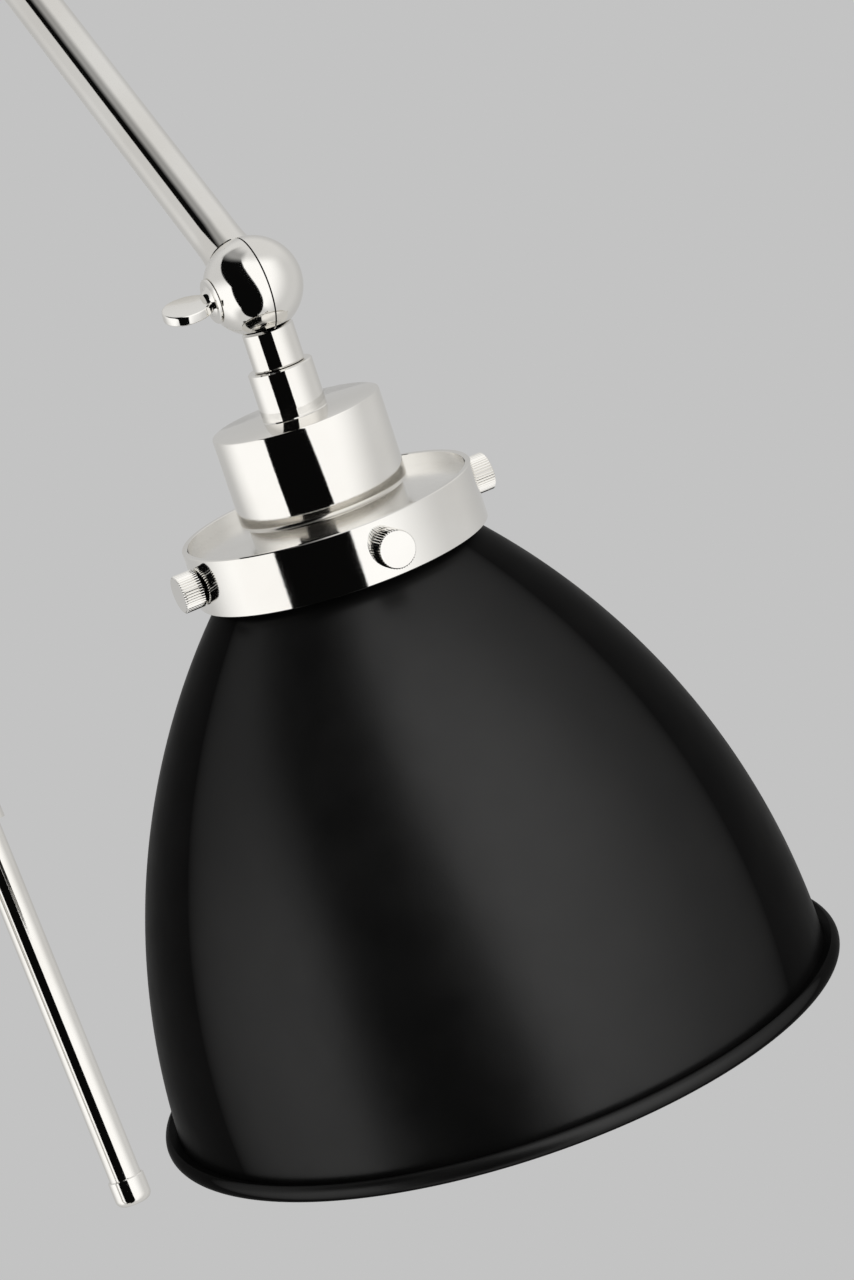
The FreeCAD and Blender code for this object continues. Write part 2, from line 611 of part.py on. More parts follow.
def lower_arm_tube():
    start = -LOWER_ARM_TAIL + TAIL_CAP_FLOOR
    end = LOWER_ARM_REACH - ELBOW_BALL_RADIUS - ARM_STUB_LENGTH
    return tube(ARM_RADIUS, ARM_RADIUS - ARM_WALL, start, end)


def tail_cap():
    """Closed cap with a softly rounded end."""
    end = -LOWER_ARM_TAIL
    rim = end + TAIL_CAP_LENGTH
    floor = end + TAIL_CAP_FLOOR
    bore = ARM_RADIUS - ARM_WALL
    centre = (TAIL_CAP_RADIUS - TAIL_CAP_ROUND, end + TAIL_CAP_ROUND)
    return turned((0, end), (centre[0], end),
                  (on_arc(centre, TAIL_CAP_ROUND, -45), (TAIL_CAP_RADIUS, centre[1])),
                  (TAIL_CAP_RADIUS, rim - TAIL_CAP_LIP), (TAIL_CAP_RADIUS - TAIL_CAP_LIP, rim),
                  (ARM_RADIUS, rim),
                  (ARM_RADIUS, floor), (bore, floor), (bore, floor + TAIL_CAP_PLUG),
                  (0, floor + TAIL_CAP_PLUG))


def upper_arm_tube():
    start = ELBOW_BALL_RADIUS + ARM_STUB_LENGTH
    end = UPPER_ARM_REACH - BALL_RADIUS - ARM_STUB_LENGTH
    return tube(ARM_RADIUS, ARM_RADIUS - ARM_WALL, start, end)


def wire(start, end):
    """Two-core flex inside a tube, kept clear of the plugs at its ends."""
    return rod(WIRE_RADIUS, start + WIRE_END_GAP, end - WIRE_END_GAP)


# ================================================================================================
# Head
# ================================================================================================

def neck_half():
    end = CUP_TOP + CUP_TOP_THICKNESS + FACE_GAP + NECK_NUT_LENGTH + NECK_THREAD_END
    return spigot_half(1, end, NECK_SPOT_FACE)


def neck_collar():
    body = cross_rod(NECK_COLLAR_RADIUS, NECK_FACE, NECK_COLLAR_END - SWIVEL_GAP)
    return coped(body, BALL_RADIUS, 1).cut(cross_rod(SPIGOT_RADIUS, 0, NECK_COLLAR_END + OVERCUT))


def neck_sleeve():
    return tube(NECK_SLEEVE_RADIUS, SPIGOT_RADIUS + RUNNING_FIT, NECK_COLLAR_END, CUP_TOP)


def neck_nut():
    start = CUP_TOP + CUP_TOP_THICKNESS + FACE_GAP
    return tube(NECK_NUT_RADIUS, SPIGOT_RADIUS, start, start + NECK_NUT_LENGTH)


def socket_cup():
    """Turned cup with a sharp upper edge, a rounded lower edge and a neck down to the fitter."""
    bottom = CUP_TOP + CUP_HEIGHT
    inner = FITTER_NECK_RADIUS - CUP_WALL
    centre = (CUP_RADIUS - CUP_LOWER_EDGE, bottom - CUP_LOWER_EDGE)
    return turned((SPIGOT_RADIUS + RUNNING_FIT, CUP_TOP), (CUP_RADIUS - CUP_TOP_EDGE, CUP_TOP),
                  (CUP_RADIUS, CUP_TOP + CUP_TOP_EDGE), (CUP_RADIUS, centre[1]),
                  (on_arc(centre, CUP_LOWER_EDGE, 45), (centre[0], bottom)),
                  (FITTER_NECK_RADIUS, bottom), (FITTER_NECK_RADIUS, FITTER_PLATE_TOP),
                  (inner, FITTER_PLATE_TOP), (inner, CUP_TOP + CUP_TOP_THICKNESS),
                  (SPIGOT_RADIUS + RUNNING_FIT, CUP_TOP + CUP_TOP_THICKNESS))


def fitter_plate():
    bottom = FITTER_PLATE_TOP + FITTER_PLATE_THICKNESS
    return tube(RING_RADIUS - RING_WALL, HOLDER_RADIUS + FACE_GAP, FITTER_PLATE_TOP, bottom)


def fitter_ring():
    """Open ring with a tapped hole for each thumbscrew."""
    body = tube(RING_RADIUS, RING_RADIUS - RING_WALL, RING_TOP, RING_BOTTOM)
    start = V(0, 0, THUMB_HEIGHT)
    for i in range(THUMB_COUNT):
        direction = polar(i * 360.0 / THUMB_COUNT)
        hole = Part.makeCylinder(THUMB_SHANK_RADIUS + RUNNING_FIT, RING_RADIUS + OVERCUT, start, direction)
        body = body.cut(hole)
    return body


def shade_thumbscrew():
    return thumbscrew(RING_RADIUS + FACE_GAP, SHADE_NECK_RADIUS + THUMB_TIP_GAP)


def thumb_frame(index):
    """Frame of one ring thumbscrew, its Z pointing outwards through the ring."""
    angle = math.radians(index * 360.0 / THUMB_COUNT)
    outward = PIVOT * math.cos(angle) + SHADE_DOWN.cross(PIVOT) * math.sin(angle)
    return frame(HEAD_BALL + SHADE_DOWN * THUMB_HEIGHT, outward, SHADE_DOWN)


def lampholder_body():
    """Ceramic holder for a screw-base bulb."""
    body = rod(HOLDER_RADIUS, HOLDER_TOP, HOLDER_END)
    bore = SCREW_SHELL_BORE + SCREW_SHELL_WALL
    body = body.cut(rod(bore, HOLDER_TOP + HOLDER_FLOOR, HOLDER_END + OVERCUT))
    return body.cut(terminal_screws(0.0))


def lampholder_shell():
    outer = SCREW_SHELL_BORE + SCREW_SHELL_WALL
    return tube(outer, SCREW_SHELL_BORE, HOLDER_TOP + HOLDER_FLOOR, HOLDER_END - SHELL_END_INSET)


def lampholder_contact():
    floor = HOLDER_TOP + HOLDER_FLOOR
    return rod(CONTACT_RADIUS, floor, floor + CONTACT_HEIGHT)


def terminal_screws(proud):
    """Two terminal screws in the top of the lampholder, standing proud of it by the amount given."""
    screws = []
    for across in (-TERMINAL_SPREAD, TERMINAL_SPREAD):
        start = V(across, 0, HOLDER_TOP - proud)
        screws.append(Part.makeCylinder(TERMINAL_RADIUS, TERMINAL_LENGTH + proud, start))
    return Part.makeCompound(screws)


def dome_arc(offset):
    """The dome's arc moved in by an offset: its points at the neck, half way and the rim."""
    slope = math.radians(SHADE_START_SLOPE)
    across = SHADE_NECK_RADIUS - SHADE_ARC_RADIUS * math.cos(slope)
    down = SHADE_ARC_RADIUS * math.sin(slope)
    radius = SHADE_ARC_RADIUS - offset

    def at(depth):
        return across + math.sqrt(radius ** 2 - (down - depth) ** 2), depth

    start = at(offset)
    return start, at(SHADE_DEPTH / 2), at(SHADE_DEPTH)


def shade():
    """Spun dome with an outward lip on its neck and a beaded rim."""
    outer_start, outer_middle, outer_end = dome_arc(0.0)
    inner_start, inner_middle, inner_end = dome_arc(SHADE_WALL)
    lip_top = -SHADE_LIP_TOP
    lip_under = lip_top + SHADE_LIP_THICKNESS
    shell = turned((SHADE_NECK_RADIUS, lip_under), outer_start, (outer_middle, outer_end), inner_end,
                   (inner_middle, inner_start), (SHADE_NECK_RADIUS - SHADE_WALL, inner_start[1]),
                   (SHADE_NECK_RADIUS - SHADE_WALL, lip_top), (SHADE_LIP_RADIUS, lip_top),
                   (SHADE_LIP_RADIUS, lip_under))
    bead = Part.makeTorus(outer_end[0] + BEAD_OFFSET, BEAD_RADIUS, V(0, 0, SHADE_DEPTH))
    return shell.fuse(bead)


# ================================================================================================
# Assembly
# ================================================================================================

def base_nodes():
    nipple, washer, nut = base_tie()
    pieces = {
        "base_cover": base_cover(),
        "base_weight": base_weight(),
        "base_pad": rod(WEIGHT_RADIUS - PAD_INSET, 0, PAD_THICKNESS),
        "base_tie_nipple": nipple,
        "base_tie_washer": washer,
        "base_tie_nut": nut,
        "cord_grommet": cord_grommet(),
        "stem_foot_collar": stem_foot_collar(),
    }
    pieces.update(stem_pieces())
    return pieces


def post_nodes():
    return {
        "stem_head_collar": placed(stem_head_collar(), POST_FRAME),
        "swivel_lock_screw": placed(swivel_lock_screw(), SWIVEL_LOCK_FRAME),
        "post_ball_lower_half": placed(post_ball_lower_half(), POST_FIXED_FRAME),
        "spindle_nut": placed(spindle_nut(), POST_FRAME),
        "post_ball_saddle_half": placed(spigot_half(1, spigot_end()), POST_MOVING_FRAME),
        "post_friction_washer": placed(friction_washer(BALL_RADIUS), POST_MOVING_FRAME),
        "post_wing_screw": placed(wing_screw(BALL_RADIUS, PLAIN_WING_ROLL), POST_MOVING_FRAME),
    }


def arm_nodes():
    lock_place = SADDLE_FRAME.multiply(frame(V(0, 0, SADDLE_LOCK_HEIGHT), V(0, 1, 0), V(1, 0, 0)))
    lock = thumbscrew(SADDLE_BOSS_RADIUS + FACE_GAP, SPIGOT_RADIUS + THUMB_TIP_GAP)
    stub = ELBOW_BALL_RADIUS + ARM_STUB_LENGTH + ARM_PLUG_LENGTH
    head_stub = BALL_RADIUS + ARM_STUB_LENGTH + ARM_PLUG_LENGTH
    return {
        "arm_saddle": placed(arm_saddle(), SADDLE_FRAME),
        "saddle_grub_screws": placed(grub_screws(0, -GRUB_INSET), SADDLE_FRAME),
        "saddle_thumbscrew": placed(lock, lock_place),
        "lower_arm_tube": placed(lower_arm_tube(), LOWER_ARM_FRAME),
        "tail_cap": placed(tail_cap(), LOWER_ARM_FRAME),
        "lower_arm_wire": placed(wire(0, LOWER_ARM_REACH - stub), LOWER_ARM_FRAME),
        "elbow_ball_lower_half": placed(arm_half(ELBOW_BALL_RADIUS, -1, 0.0), ELBOW_LOWER_FRAME),
        "elbow_ball_upper_half": placed(arm_half(ELBOW_BALL_RADIUS, 1, 0.0), ELBOW_UPPER_FRAME),
        "elbow_friction_washer": placed(friction_washer(ELBOW_BALL_RADIUS), ELBOW_UPPER_FRAME),
        "elbow_wing_screw": placed(wing_screw(ELBOW_BALL_RADIUS, PLAIN_WING_ROLL), ELBOW_UPPER_FRAME),
        "upper_arm_tube": placed(upper_arm_tube(), UPPER_ARM_FRAME),
        "upper_arm_wire": placed(wire(stub, UPPER_ARM_REACH - head_stub), UPPER_ARM_FRAME),
        "head_ball_arm_half": placed(arm_half(BALL_RADIUS, -1, STUB_FLARE), HEAD_ARM_FRAME),
    }


def head_nodes():
    pieces = {
        "head_ball_neck_half": placed(neck_half(), HEAD_NECK_FRAME),
        "head_friction_washer": placed(friction_washer(BALL_RADIUS), HEAD_NECK_FRAME),
        "head_wing_screw": placed(wing_screw(BALL_RADIUS, HEAD_WING_ROLL), HEAD_NECK_FRAME),
        "neck_collar": placed(neck_collar(), HEAD_NECK_FRAME),
        "neck_nut": placed(neck_nut(), NECK_FRAME),
        "neck_sleeve": placed(neck_sleeve(), NECK_FRAME),
        "socket_cup": placed(socket_cup(), NECK_FRAME),
        "fitter_plate": placed(fitter_plate(), NECK_FRAME),
        "fitter_ring": placed(fitter_ring(), NECK_FRAME),
        "lampholder_body": placed(lampholder_body(), NECK_FRAME),
        "lampholder_shell": placed(lampholder_shell(), NECK_FRAME),
        "lampholder_contact": placed(lampholder_contact(), NECK_FRAME),
        "lampholder_terminals": placed(terminal_screws(TERMINAL_PROUD), NECK_FRAME),
        "shade": placed(shade(), SHADE_FRAME),
    }
    for index in range(THUMB_COUNT):
        pieces["shade_thumbscrew_%d" % (index + 1)] = placed(shade_thumbscrew(), thumb_frame(index))
    return pieces


def main():
    os.makedirs("parts", exist_ok=True)
    nodes = {}
    for group in (base_nodes(), post_nodes(), arm_nodes(), head_nodes()):
        nodes.update(group)
    for name, shape in nodes.items():
        shape.exportStep(os.path.join("parts", name + ".step"))
        print(name, "solids", len(shape.Solids), "valid", shape.isValid(), "volume", round(shape.Volume))
    centres = {"stem ball": STEM_BALL, "saddle": SADDLE, "elbow": ELBOW, "head ball": HEAD_BALL}
    for name, point in centres.items():
        print(name, [round(value, 2) for value in point])


main()
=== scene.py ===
import json
import math
import bmesh
import bpy
from mathutils import Matrix, Vector


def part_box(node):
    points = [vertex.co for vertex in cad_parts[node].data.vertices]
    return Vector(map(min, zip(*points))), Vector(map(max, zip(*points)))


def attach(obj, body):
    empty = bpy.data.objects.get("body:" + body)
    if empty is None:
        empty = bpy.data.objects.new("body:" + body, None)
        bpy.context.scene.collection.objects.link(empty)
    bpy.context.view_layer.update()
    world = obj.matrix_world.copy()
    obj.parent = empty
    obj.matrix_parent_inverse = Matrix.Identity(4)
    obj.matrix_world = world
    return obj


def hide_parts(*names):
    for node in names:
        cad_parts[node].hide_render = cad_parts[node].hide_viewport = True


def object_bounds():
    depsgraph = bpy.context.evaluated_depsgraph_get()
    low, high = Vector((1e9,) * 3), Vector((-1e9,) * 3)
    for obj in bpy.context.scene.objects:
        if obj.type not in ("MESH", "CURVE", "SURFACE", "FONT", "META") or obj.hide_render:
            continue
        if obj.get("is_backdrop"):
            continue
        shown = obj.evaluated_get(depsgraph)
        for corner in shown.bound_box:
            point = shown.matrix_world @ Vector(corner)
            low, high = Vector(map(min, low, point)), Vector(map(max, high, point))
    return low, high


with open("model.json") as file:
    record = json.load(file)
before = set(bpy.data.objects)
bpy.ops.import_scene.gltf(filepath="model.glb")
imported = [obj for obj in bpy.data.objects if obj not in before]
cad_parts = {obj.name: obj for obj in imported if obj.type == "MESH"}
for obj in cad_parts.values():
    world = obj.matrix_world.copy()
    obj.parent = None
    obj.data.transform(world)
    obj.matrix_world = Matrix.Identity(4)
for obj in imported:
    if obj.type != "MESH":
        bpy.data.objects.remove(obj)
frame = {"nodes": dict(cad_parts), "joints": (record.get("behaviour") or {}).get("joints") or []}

# Looks of the adjustable arm floor lamp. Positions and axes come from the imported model's joints and
# node boxes; the profile sizes below are in millimetres, in each piece's own frame.

CAD_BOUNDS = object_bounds()
MM = 0.001
UP = Vector((0.0, 0.0, 1.0))
JOINTS = {joint["name"]: joint for joint in frame["joints"]}
ROUND = 128                    # columns of a turned piece
FINE = 192                     # columns of a large turned piece
SHARP = math.radians(28)

# ---------------------------------------------------------------------------------- frames


def joint_point(name):
    return Vector(JOINTS[name]["pos_m"])


def joint_axis(name):
    return Vector(JOINTS[name]["axis"]).normalized()


def local(origin, z_axis, x_axis):
    """Frame in metres for a shape given in millimetres, with Z and, as near as it can, X as given."""
    z = Vector(z_axis).normalized()
    y = z.cross(x_axis).normalized()
    x = y.cross(z)
    turn = Matrix((x, y, z)).transposed().to_4x4()
    return Matrix.Translation(origin) @ turn @ Matrix.Scale(MM, 4)


def centre(node):
    low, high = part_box(node)
    return (Vector(low) + Vector(high)) / 2


PIVOT = joint_axis("elbow_bend")
SHADE_DOWN = joint_axis("shade_turn")
TILT = joint_axis("arm_tilt_turn")
POST = joint_point("arm_tilt_turn")
ELBOW = joint_point("elbow_bend")
HEAD = joint_point("head_tilt")
SADDLE = POST + PIVOT * (30.0 * MM)
LOWER_UP = (ELBOW - SADDLE).normalized()
UPPER_DOWN = (HEAD - ELBOW).normalized()
SHADE_FRAME = local(HEAD, SHADE_DOWN, PIVOT)
UPPER_FRAME = local(ELBOW, UPPER_DOWN, PIVOT)
LOWER_FRAME = local(SADDLE, LOWER_UP, PIVOT)
FLOOR_FRAME = Matrix.Scale(MM, 4)
POST_FRAME = local(POST, UP, (1, 0, 0))

# ---------------------------------------------------------------------------------- meshes


def arc(centre_point, radius, start, end, steps=10):
    """Points (r, z) of an arc, its angles in degrees from the r axis towards the z axis."""
    points = []
    for i in range(steps + 1):
        angle = math.radians(start + (end - start) * i / steps)
        points.append((centre_point[0] + radius * math.cos(angle),
                       centre_point[1] + radius * math.sin(angle)))
    return points


def add_lathe(mesh, profile, columns=ROUND, closed=True):
    """Revolves a profile of (radius, z) points about Z. Points on the axis become poles."""
    rows = []
    for radius, height in profile:
        if radius < 1e-6:
            rows.append([mesh.verts.new((0, 0, height))])
        else:
            turn = 2 * math.pi / columns
            rows.append([mesh.verts.new((radius * math.cos(turn * i), radius * math.sin(turn * i), height))
                         for i in range(columns)])
    count = len(rows) if closed else len(rows) - 1
    for k in range(count):
        a, b = rows[k], rows[(k + 1) % len(rows)]
        if len(a) == 1 and len(b) == 1:
            continue
        for i in range(columns):
            j = (i + 1) % columns
            if len(a) == 1:
                mesh.faces.new((a[0], b[j], b[i]))
            elif len(b) == 1:
                mesh.faces.new((a[i], a[j], b[0]))
            else:
                mesh.faces.new((a[i], a[j], b[j], b[i]))


def finish_mesh(name, mesh, place, sharp=SHARP):
    """Turns a bmesh in a local frame into an object whose vertices are in the row frame."""
    bmesh.ops.transform(mesh, matrix=place, verts=mesh.verts)
    bmesh.ops.recalc_face_normals(mesh, faces=mesh.faces)
    for face in mesh.faces:
        face.smooth = True
    for edge in mesh.edges:
        edge.smooth = not (len(edge.link_faces) == 2 and edge.calc_face_angle(0.0) > sharp)
    data = bpy.data.meshes.new(name)
    mesh.to_mesh(data)
    mesh.free()
    piece = bpy.data.objects.new(name, data)
    bpy.context.scene.collection.objects.link(piece)
    return piece


def lathe(name, place, profile, columns=ROUND):
    mesh = bmesh.new()
    add_lathe(mesh, profile, columns)
    return finish_mesh(name, mesh, place)


def slice_off(mesh, point, normal):
    """Cuts away what lies beyond a plane and closes the cut with one flat face."""
    geometry = mesh.verts[:] + mesh.edges[:] + mesh.faces[:]
    cut = bmesh.ops.bisect_plane(mesh, geom=geometry, plane_co=point, plane_no=normal,
                                 clear_outer=True, dist=1e-5)
    rim = [item for item in cut["geom_cut"] if isinstance(item, bmesh.types.BMEdge)]
    if rim:
        bmesh.ops.contextual_create(mesh, geom=rim)


def bored(piece, start, end, radius):
    """Drills a round hole in a piece between two points of the row frame."""
    along = Vector(end) - Vector(start)
    side = UP if abs(along.normalized().z) < 0.9 else Vector((1, 0, 0))
    cutter_mesh = bmesh.new()
    add_lathe(cutter_mesh, [(0, 0), (radius, 0), (radius, along.length / MM), (0, along.length / MM)], 48)
    cutter = finish_mesh("cutter", cutter_mesh, local(start, along, side))
    boolean = piece.modifiers.new("bore", "BOOLEAN")
    boolean.operation = "DIFFERENCE"
    boolean.solver = "EXACT"
    boolean.object = cutter
    bpy.context.view_layer.update()
    evaluated = piece.evaluated_get(bpy.context.evaluated_depsgraph_get())
    data = bpy.data.meshes.new_from_object(evaluated)
    piece.modifiers.clear()
    piece.data = data
    bpy.data.objects.remove(cutter)


# ---------------------------------------------------------------------------------- ball joints

BALL = 12.7
ELBOW_BALL = 19.05
ARM = 6.35
SEAM = 0.2                     # each half ends this far from the ball's middle plane
COPE = 0.3                     # a stub's end is sunk this far in its own half
COPE_SHADOW = 0.6              # and stands this far off the other half
BALL_STEPS = 72                # rows of a ball from pole to pole
STUB = 13.0
STUB_STEPS = 24                # rows along a stub
ARM_FLARE = 0.7                # widening of the upper arm's stub at the head ball
WING_SEAT = 6.1                # radius of the flat under a wing screw
WING_DISC = 1.0
WING_HALF, WING_LENGTH, WING_THICK, WING_EDGE = 5.75, 13.8, 2.7, 0.45


def ball_part(mesh, radius, side, flat=None):
    """Half ball on one side of the seam, with the flat for a wing screw on the cap side."""
    half = bmesh.new()
    turns = [math.pi * i / BALL_STEPS for i in range(BALL_STEPS + 1)]
    profile = [(radius * math.sin(turn), radius * math.cos(turn)) for turn in turns]
    profile[0] = (0, radius)
    profile[-1] = (0, -radius)
    add_lathe(half, profile, ROUND, closed=False)
    slice_off(half, (0, 0, side * SEAM), (0, 0, -side))
    if side > 0:
        slice_off(half, (0, 0, math.sqrt(radius ** 2 - WING_SEAT ** 2)), (0, 0, 1))
    if flat:
        slice_off(half, (flat, 0, 0), (1, 0, 0))
    copied = bpy.data.meshes.new("half")
    half.to_mesh(copied)
    half.free()
    mesh.from_mesh(copied)
    bpy.data.meshes.remove(copied)


def add_stub(mesh, radius, side, profile, end, flat=None, columns=ROUND, rings=10):
    """Stub along X: profile(x) gives its radius; its near end follows the two halves of the ball."""
    def start(angle, rho):
        own = math.sin(angle) * side > 0
        if own and flat:
            return flat
        reach = radius - COPE if own else radius + COPE_SHADOW
        return math.sqrt(reach ** 2 - rho ** 2)

    grid = []
    for i in range(columns):
        angle = 2 * math.pi * (i + 0.5) / columns
        x = start(angle, profile(radius))
        for _ in range(4):
            x = start(angle, profile(x))
        column = []
        for k in range(rings):
            rho = profile(x) * (k + 1) / rings
            column.append((start(angle, rho), rho))
        for k in range(1, STUB_STEPS + 1):
            along = x + (end - x) * k / STUB_STEPS
            column.append((along, profile(along)))
        grid.append([mesh.verts.new((px, rho * math.cos(angle), rho * math.sin(angle)))
                     for px, rho in column])
    near = mesh.verts.new((flat or radius, 0, 0))
    far = mesh.verts.new((end, 0, 0))
    for i in range(columns):
        a, b = grid[i], grid[(i + 1) % columns]
        mesh.faces.new((near, a[0], b[0]))
        for k in range(len(a) - 1):
            mesh.faces.new((a[k], a[k + 1], b[k + 1], b[k]))
        mesh.faces.new((a[-1], far, b[-1]))


def knuckle(name, place, radius, side, flare=0.0):
    """Ball half and the stub that holds an arm tube."""
    def profile(x):
        blend = min(max((radius + 8.0 - x) / 10.0, 0.0), 1.0)
        return ARM + flare * blend * blend

    mesh = bmesh.new()
    ball_part(mesh, radius, side)
    add_stub(mesh, radius, side, profile, radius + STUB)
    return finish_mesh(name, mesh, place)


def wing(name, place, radius, roll):
    """Wing screw: a disc on the ball, a cone and an oval leaf with a rounded rim."""
    seat = math.sqrt(radius ** 2 - WING_SEAT ** 2)
    top = seat + WING_DISC
    wide = seat + WING_LENGTH - WING_HALF
    mesh = bmesh.new()
    add_lathe(mesh, [(0, seat - 3.0), (2.4, seat - 3.0), (2.4, seat + 0.05), (5.6, seat + 0.05),
                     (5.9, seat + 0.3), (5.9, top - 0.3), (5.6, top), (4.2, top), (3.4, top + 0.5),
                     (2.7, top + 1.6), (0, top + 1.6)], 96)
    right = [(2.6, top), (3.1, top + 0.6), (3.9, top + 1.4), (4.75, top + 2.6), (5.4, top + 4.0),
             (5.7, top + 5.4)]
    loop = right + arc((0, wide), WING_HALF, 0, 180, 40) + [(-x, z) for x, z in reversed(right)]
    add_leaf(mesh, loop, WING_THICK, WING_EDGE, math.radians(roll))
    return finish_mesh(name, mesh, place)


def add_leaf(mesh, loop, thick, edge, roll):
    """Flat plate in the XZ plane with a round rim, turned about Z."""
    count = len(loop)
    normals = []
    for i in range(count):
        a, b = Vector(loop[i - 1]), Vector(loop[(i + 1) % count])
        along = (b - a).normalized()
        normals.append(Vector((along.y, -along.x)))
    rows = []
    steps = 8
    turns = [math.pi * k / steps / 2 for k in range(steps + 1)]
    sections = [(edge * (1 - math.sin(turn)), edge * (1 - math.cos(turn)) - thick / 2) for turn in turns]
    sections += [(inset, -y) for inset, y in reversed(sections)]
    for inset, y in sections:
        row = []
        for i in range(count):
            x = loop[i][0] - normals[i].x * inset
            z = loop[i][1] - normals[i].y * inset
            row.append(mesh.verts.new((x * math.cos(roll) - y * math.sin(roll),
                                       x * math.sin(roll) + y * math.cos(roll), z)))
        rows.append(row)
    for a, b in zip(rows, rows[1:]):
        for i in range(count):
            j = (i + 1) % count
            mesh.faces.new((a[i], a[j], b[j], b[i]))
    mesh.faces.new(rows[0])
    mesh.faces.new(rows[-1])


HEAD_R, HEAD_LENGTH, HEAD_CHAMFER = 5.0, 5.6, 0.28
KNURL_TEETH, KNURL_DEPTH = 44, 0.4
KNURL_SHAPE = (0.0, 0.75, 1.0, 0.75)
THREAD_PITCH, THREAD_MAJOR, THREAD_MINOR = 0.7, 1.5, 1.22


def thumbscrew(name, place, seat, tip):
    """Straight-knurled head from seat outwards on Z, and a threaded shank in to tip."""
    mesh = bmesh.new()
    columns = KNURL_TEETH * len(KNURL_SHAPE)
    top = seat + HEAD_LENGTH
    bevel = HEAD_CHAMFER + 0.1
    rows = []
    for z, cut, knurl in ((seat, bevel, 0.0), (seat + HEAD_CHAMFER, 0.0, 1.0),
                          (top - HEAD_CHAMFER, 0.0, 1.0), (top, bevel, 0.0)):
        row = []
        for i in range(columns):
            radius = HEAD_R - cut - KNURL_DEPTH * knurl * (1 - KNURL_SHAPE[i % len(KNURL_SHAPE)])
            angle = 2 * math.pi * i / columns
            row.append(mesh.verts.new((radius * math.cos(angle), radius * math.sin(angle), z)))
        rows.append(row)
    for a, b in zip(rows, rows[1:]):
        for i in range(columns):
            j = (i + 1) % columns
            mesh.faces.new((a[i], a[j], b[j], b[i]))
    mesh.faces.new(rows[0])
    mesh.faces.new(rows[-1])
    thread = [(0, seat + 0.2), (THREAD_MINOR, seat + 0.2)]
    z = seat
    while z - THREAD_PITCH > tip + 0.4:
        thread += [(THREAD_MAJOR, z - THREAD_PITCH * 0.35), (THREAD_MINOR, z - THREAD_PITCH * 0.85)]
        z -= THREAD_PITCH
    thread += [(THREAD_MINOR, tip + 0.3), (THREAD_MINOR - 0.4, tip), (0, tip)]
    add_lathe(mesh, thread, 32, closed=False)
    return finish_mesh(name, mesh, place)


# ---------------------------------------------------------------------------------- materials


class Nodes:
    """Short way to build a material's node tree."""

    def __init__(self, name):
        self.material = bpy.data.materials.new(name)
        self.material.use_nodes = True
        self.tree = self.material.node_tree
        self.tree.nodes.clear()
        self.out = self.tree.nodes.new("ShaderNodeOutputMaterial")
        self.shader = self.tree.nodes.new("ShaderNodeBsdfPrincipled")
        self.tree.links.new(self.shader.outputs[0], self.out.inputs[0])
        self.coords = self.tree.nodes.new("ShaderNodeTexCoord").outputs["Object"]

    def link(self, source, target):
        self.tree.links.new(source, target)

    def noise(self, scale, detail=4.0, rough=0.5, stretch=None):
        node = self.tree.nodes.new("ShaderNodeTexNoise")
        node.inputs["Scale"].default_value = scale
        node.inputs["Detail"].default_value = detail
        node.inputs["Roughness"].default_value = rough
        self.link(self.mapped(stretch), node.inputs["Vector"])
        return node.outputs["Fac"]

    def cells(self, scale):
        node = self.tree.nodes.new("ShaderNodeTexVoronoi")
        node.inputs["Scale"].default_value = scale
        self.link(self.coords, node.inputs["Vector"])
        return node.outputs["Distance"]

    def mapped(self, stretch):
        if not stretch:
            return self.coords
        node = self.tree.nodes.new("ShaderNodeMapping")
        node.inputs["Scale"].default_value = stretch
        self.link(self.coords, node.inputs["Vector"])
        return node.outputs["Vector"]

    def ramp(self, factor, low, high, start=0.3, end=0.7):
        node = self.tree.nodes.new("ShaderNodeValToRGB")
        node.color_ramp.elements[0].position = start
        node.color_ramp.elements[0].color = (*low, 1)
        node.color_ramp.elements[1].position = end
        node.color_ramp.elements[1].color = (*high, 1)
        self.link(factor, node.inputs["Fac"])
        return node.outputs["Color"]

    def span(self, factor, low, high, start=0.3, end=0.7):
        node = self.tree.nodes.new("ShaderNodeMapRange")
        node.inputs["From Min"].default_value = start
        node.inputs["From Max"].default_value = end
        node.inputs["To Min"].default_value = low
        node.inputs["To Max"].default_value = high
        self.link(factor, node.inputs["Value"])
        return node.outputs["Result"]

    def add(self, a, b):
        node = self.tree.nodes.new("ShaderNodeMath")
        node.operation = "ADD"
        self.link(a, node.inputs[0])
        self.link(b, node.inputs[1])
        return node.outputs[0]

    def bump(self, height, distance, strength=1.0):
        node = self.tree.nodes.new("ShaderNodeBump")
        node.inputs["Distance"].default_value = distance
        node.inputs["Strength"].default_value = strength
        self.link(height, node.inputs["Height"])
        self.link(node.outputs["Normal"], self.shader.inputs["Normal"])

    def set(self, **values):
        for key, value in values.items():
            self.shader.inputs[key.replace("_", " ")].default_value = value

    def colour(self, output):
        self.link(output, self.shader.inputs["Base Color"])

    def roughness(self, output):
        self.link(output, self.shader.inputs["Roughness"])


def polished_nickel():
    """Bright warm nickel with faint polishing haze, smudges and a faint fine-grain relief."""
    m = Nodes("polished_nickel")
    m.set(Metallic=1.0)
    m.colour(m.ramp(m.noise(38.0, 5.0), (0.775, 0.757, 0.722), (0.83, 0.818, 0.79)))
    haze = m.span(m.noise(60.0, 6.0, 0.62), 0.035, 0.085)
    smudge = m.span(m.noise(14.0, 3.0), 0.0, 0.035, 0.5, 0.75)
    m.roughness(m.add(haze, smudge))
    m.bump(m.noise(900.0, 3.0), 0.000004)
    return m.material


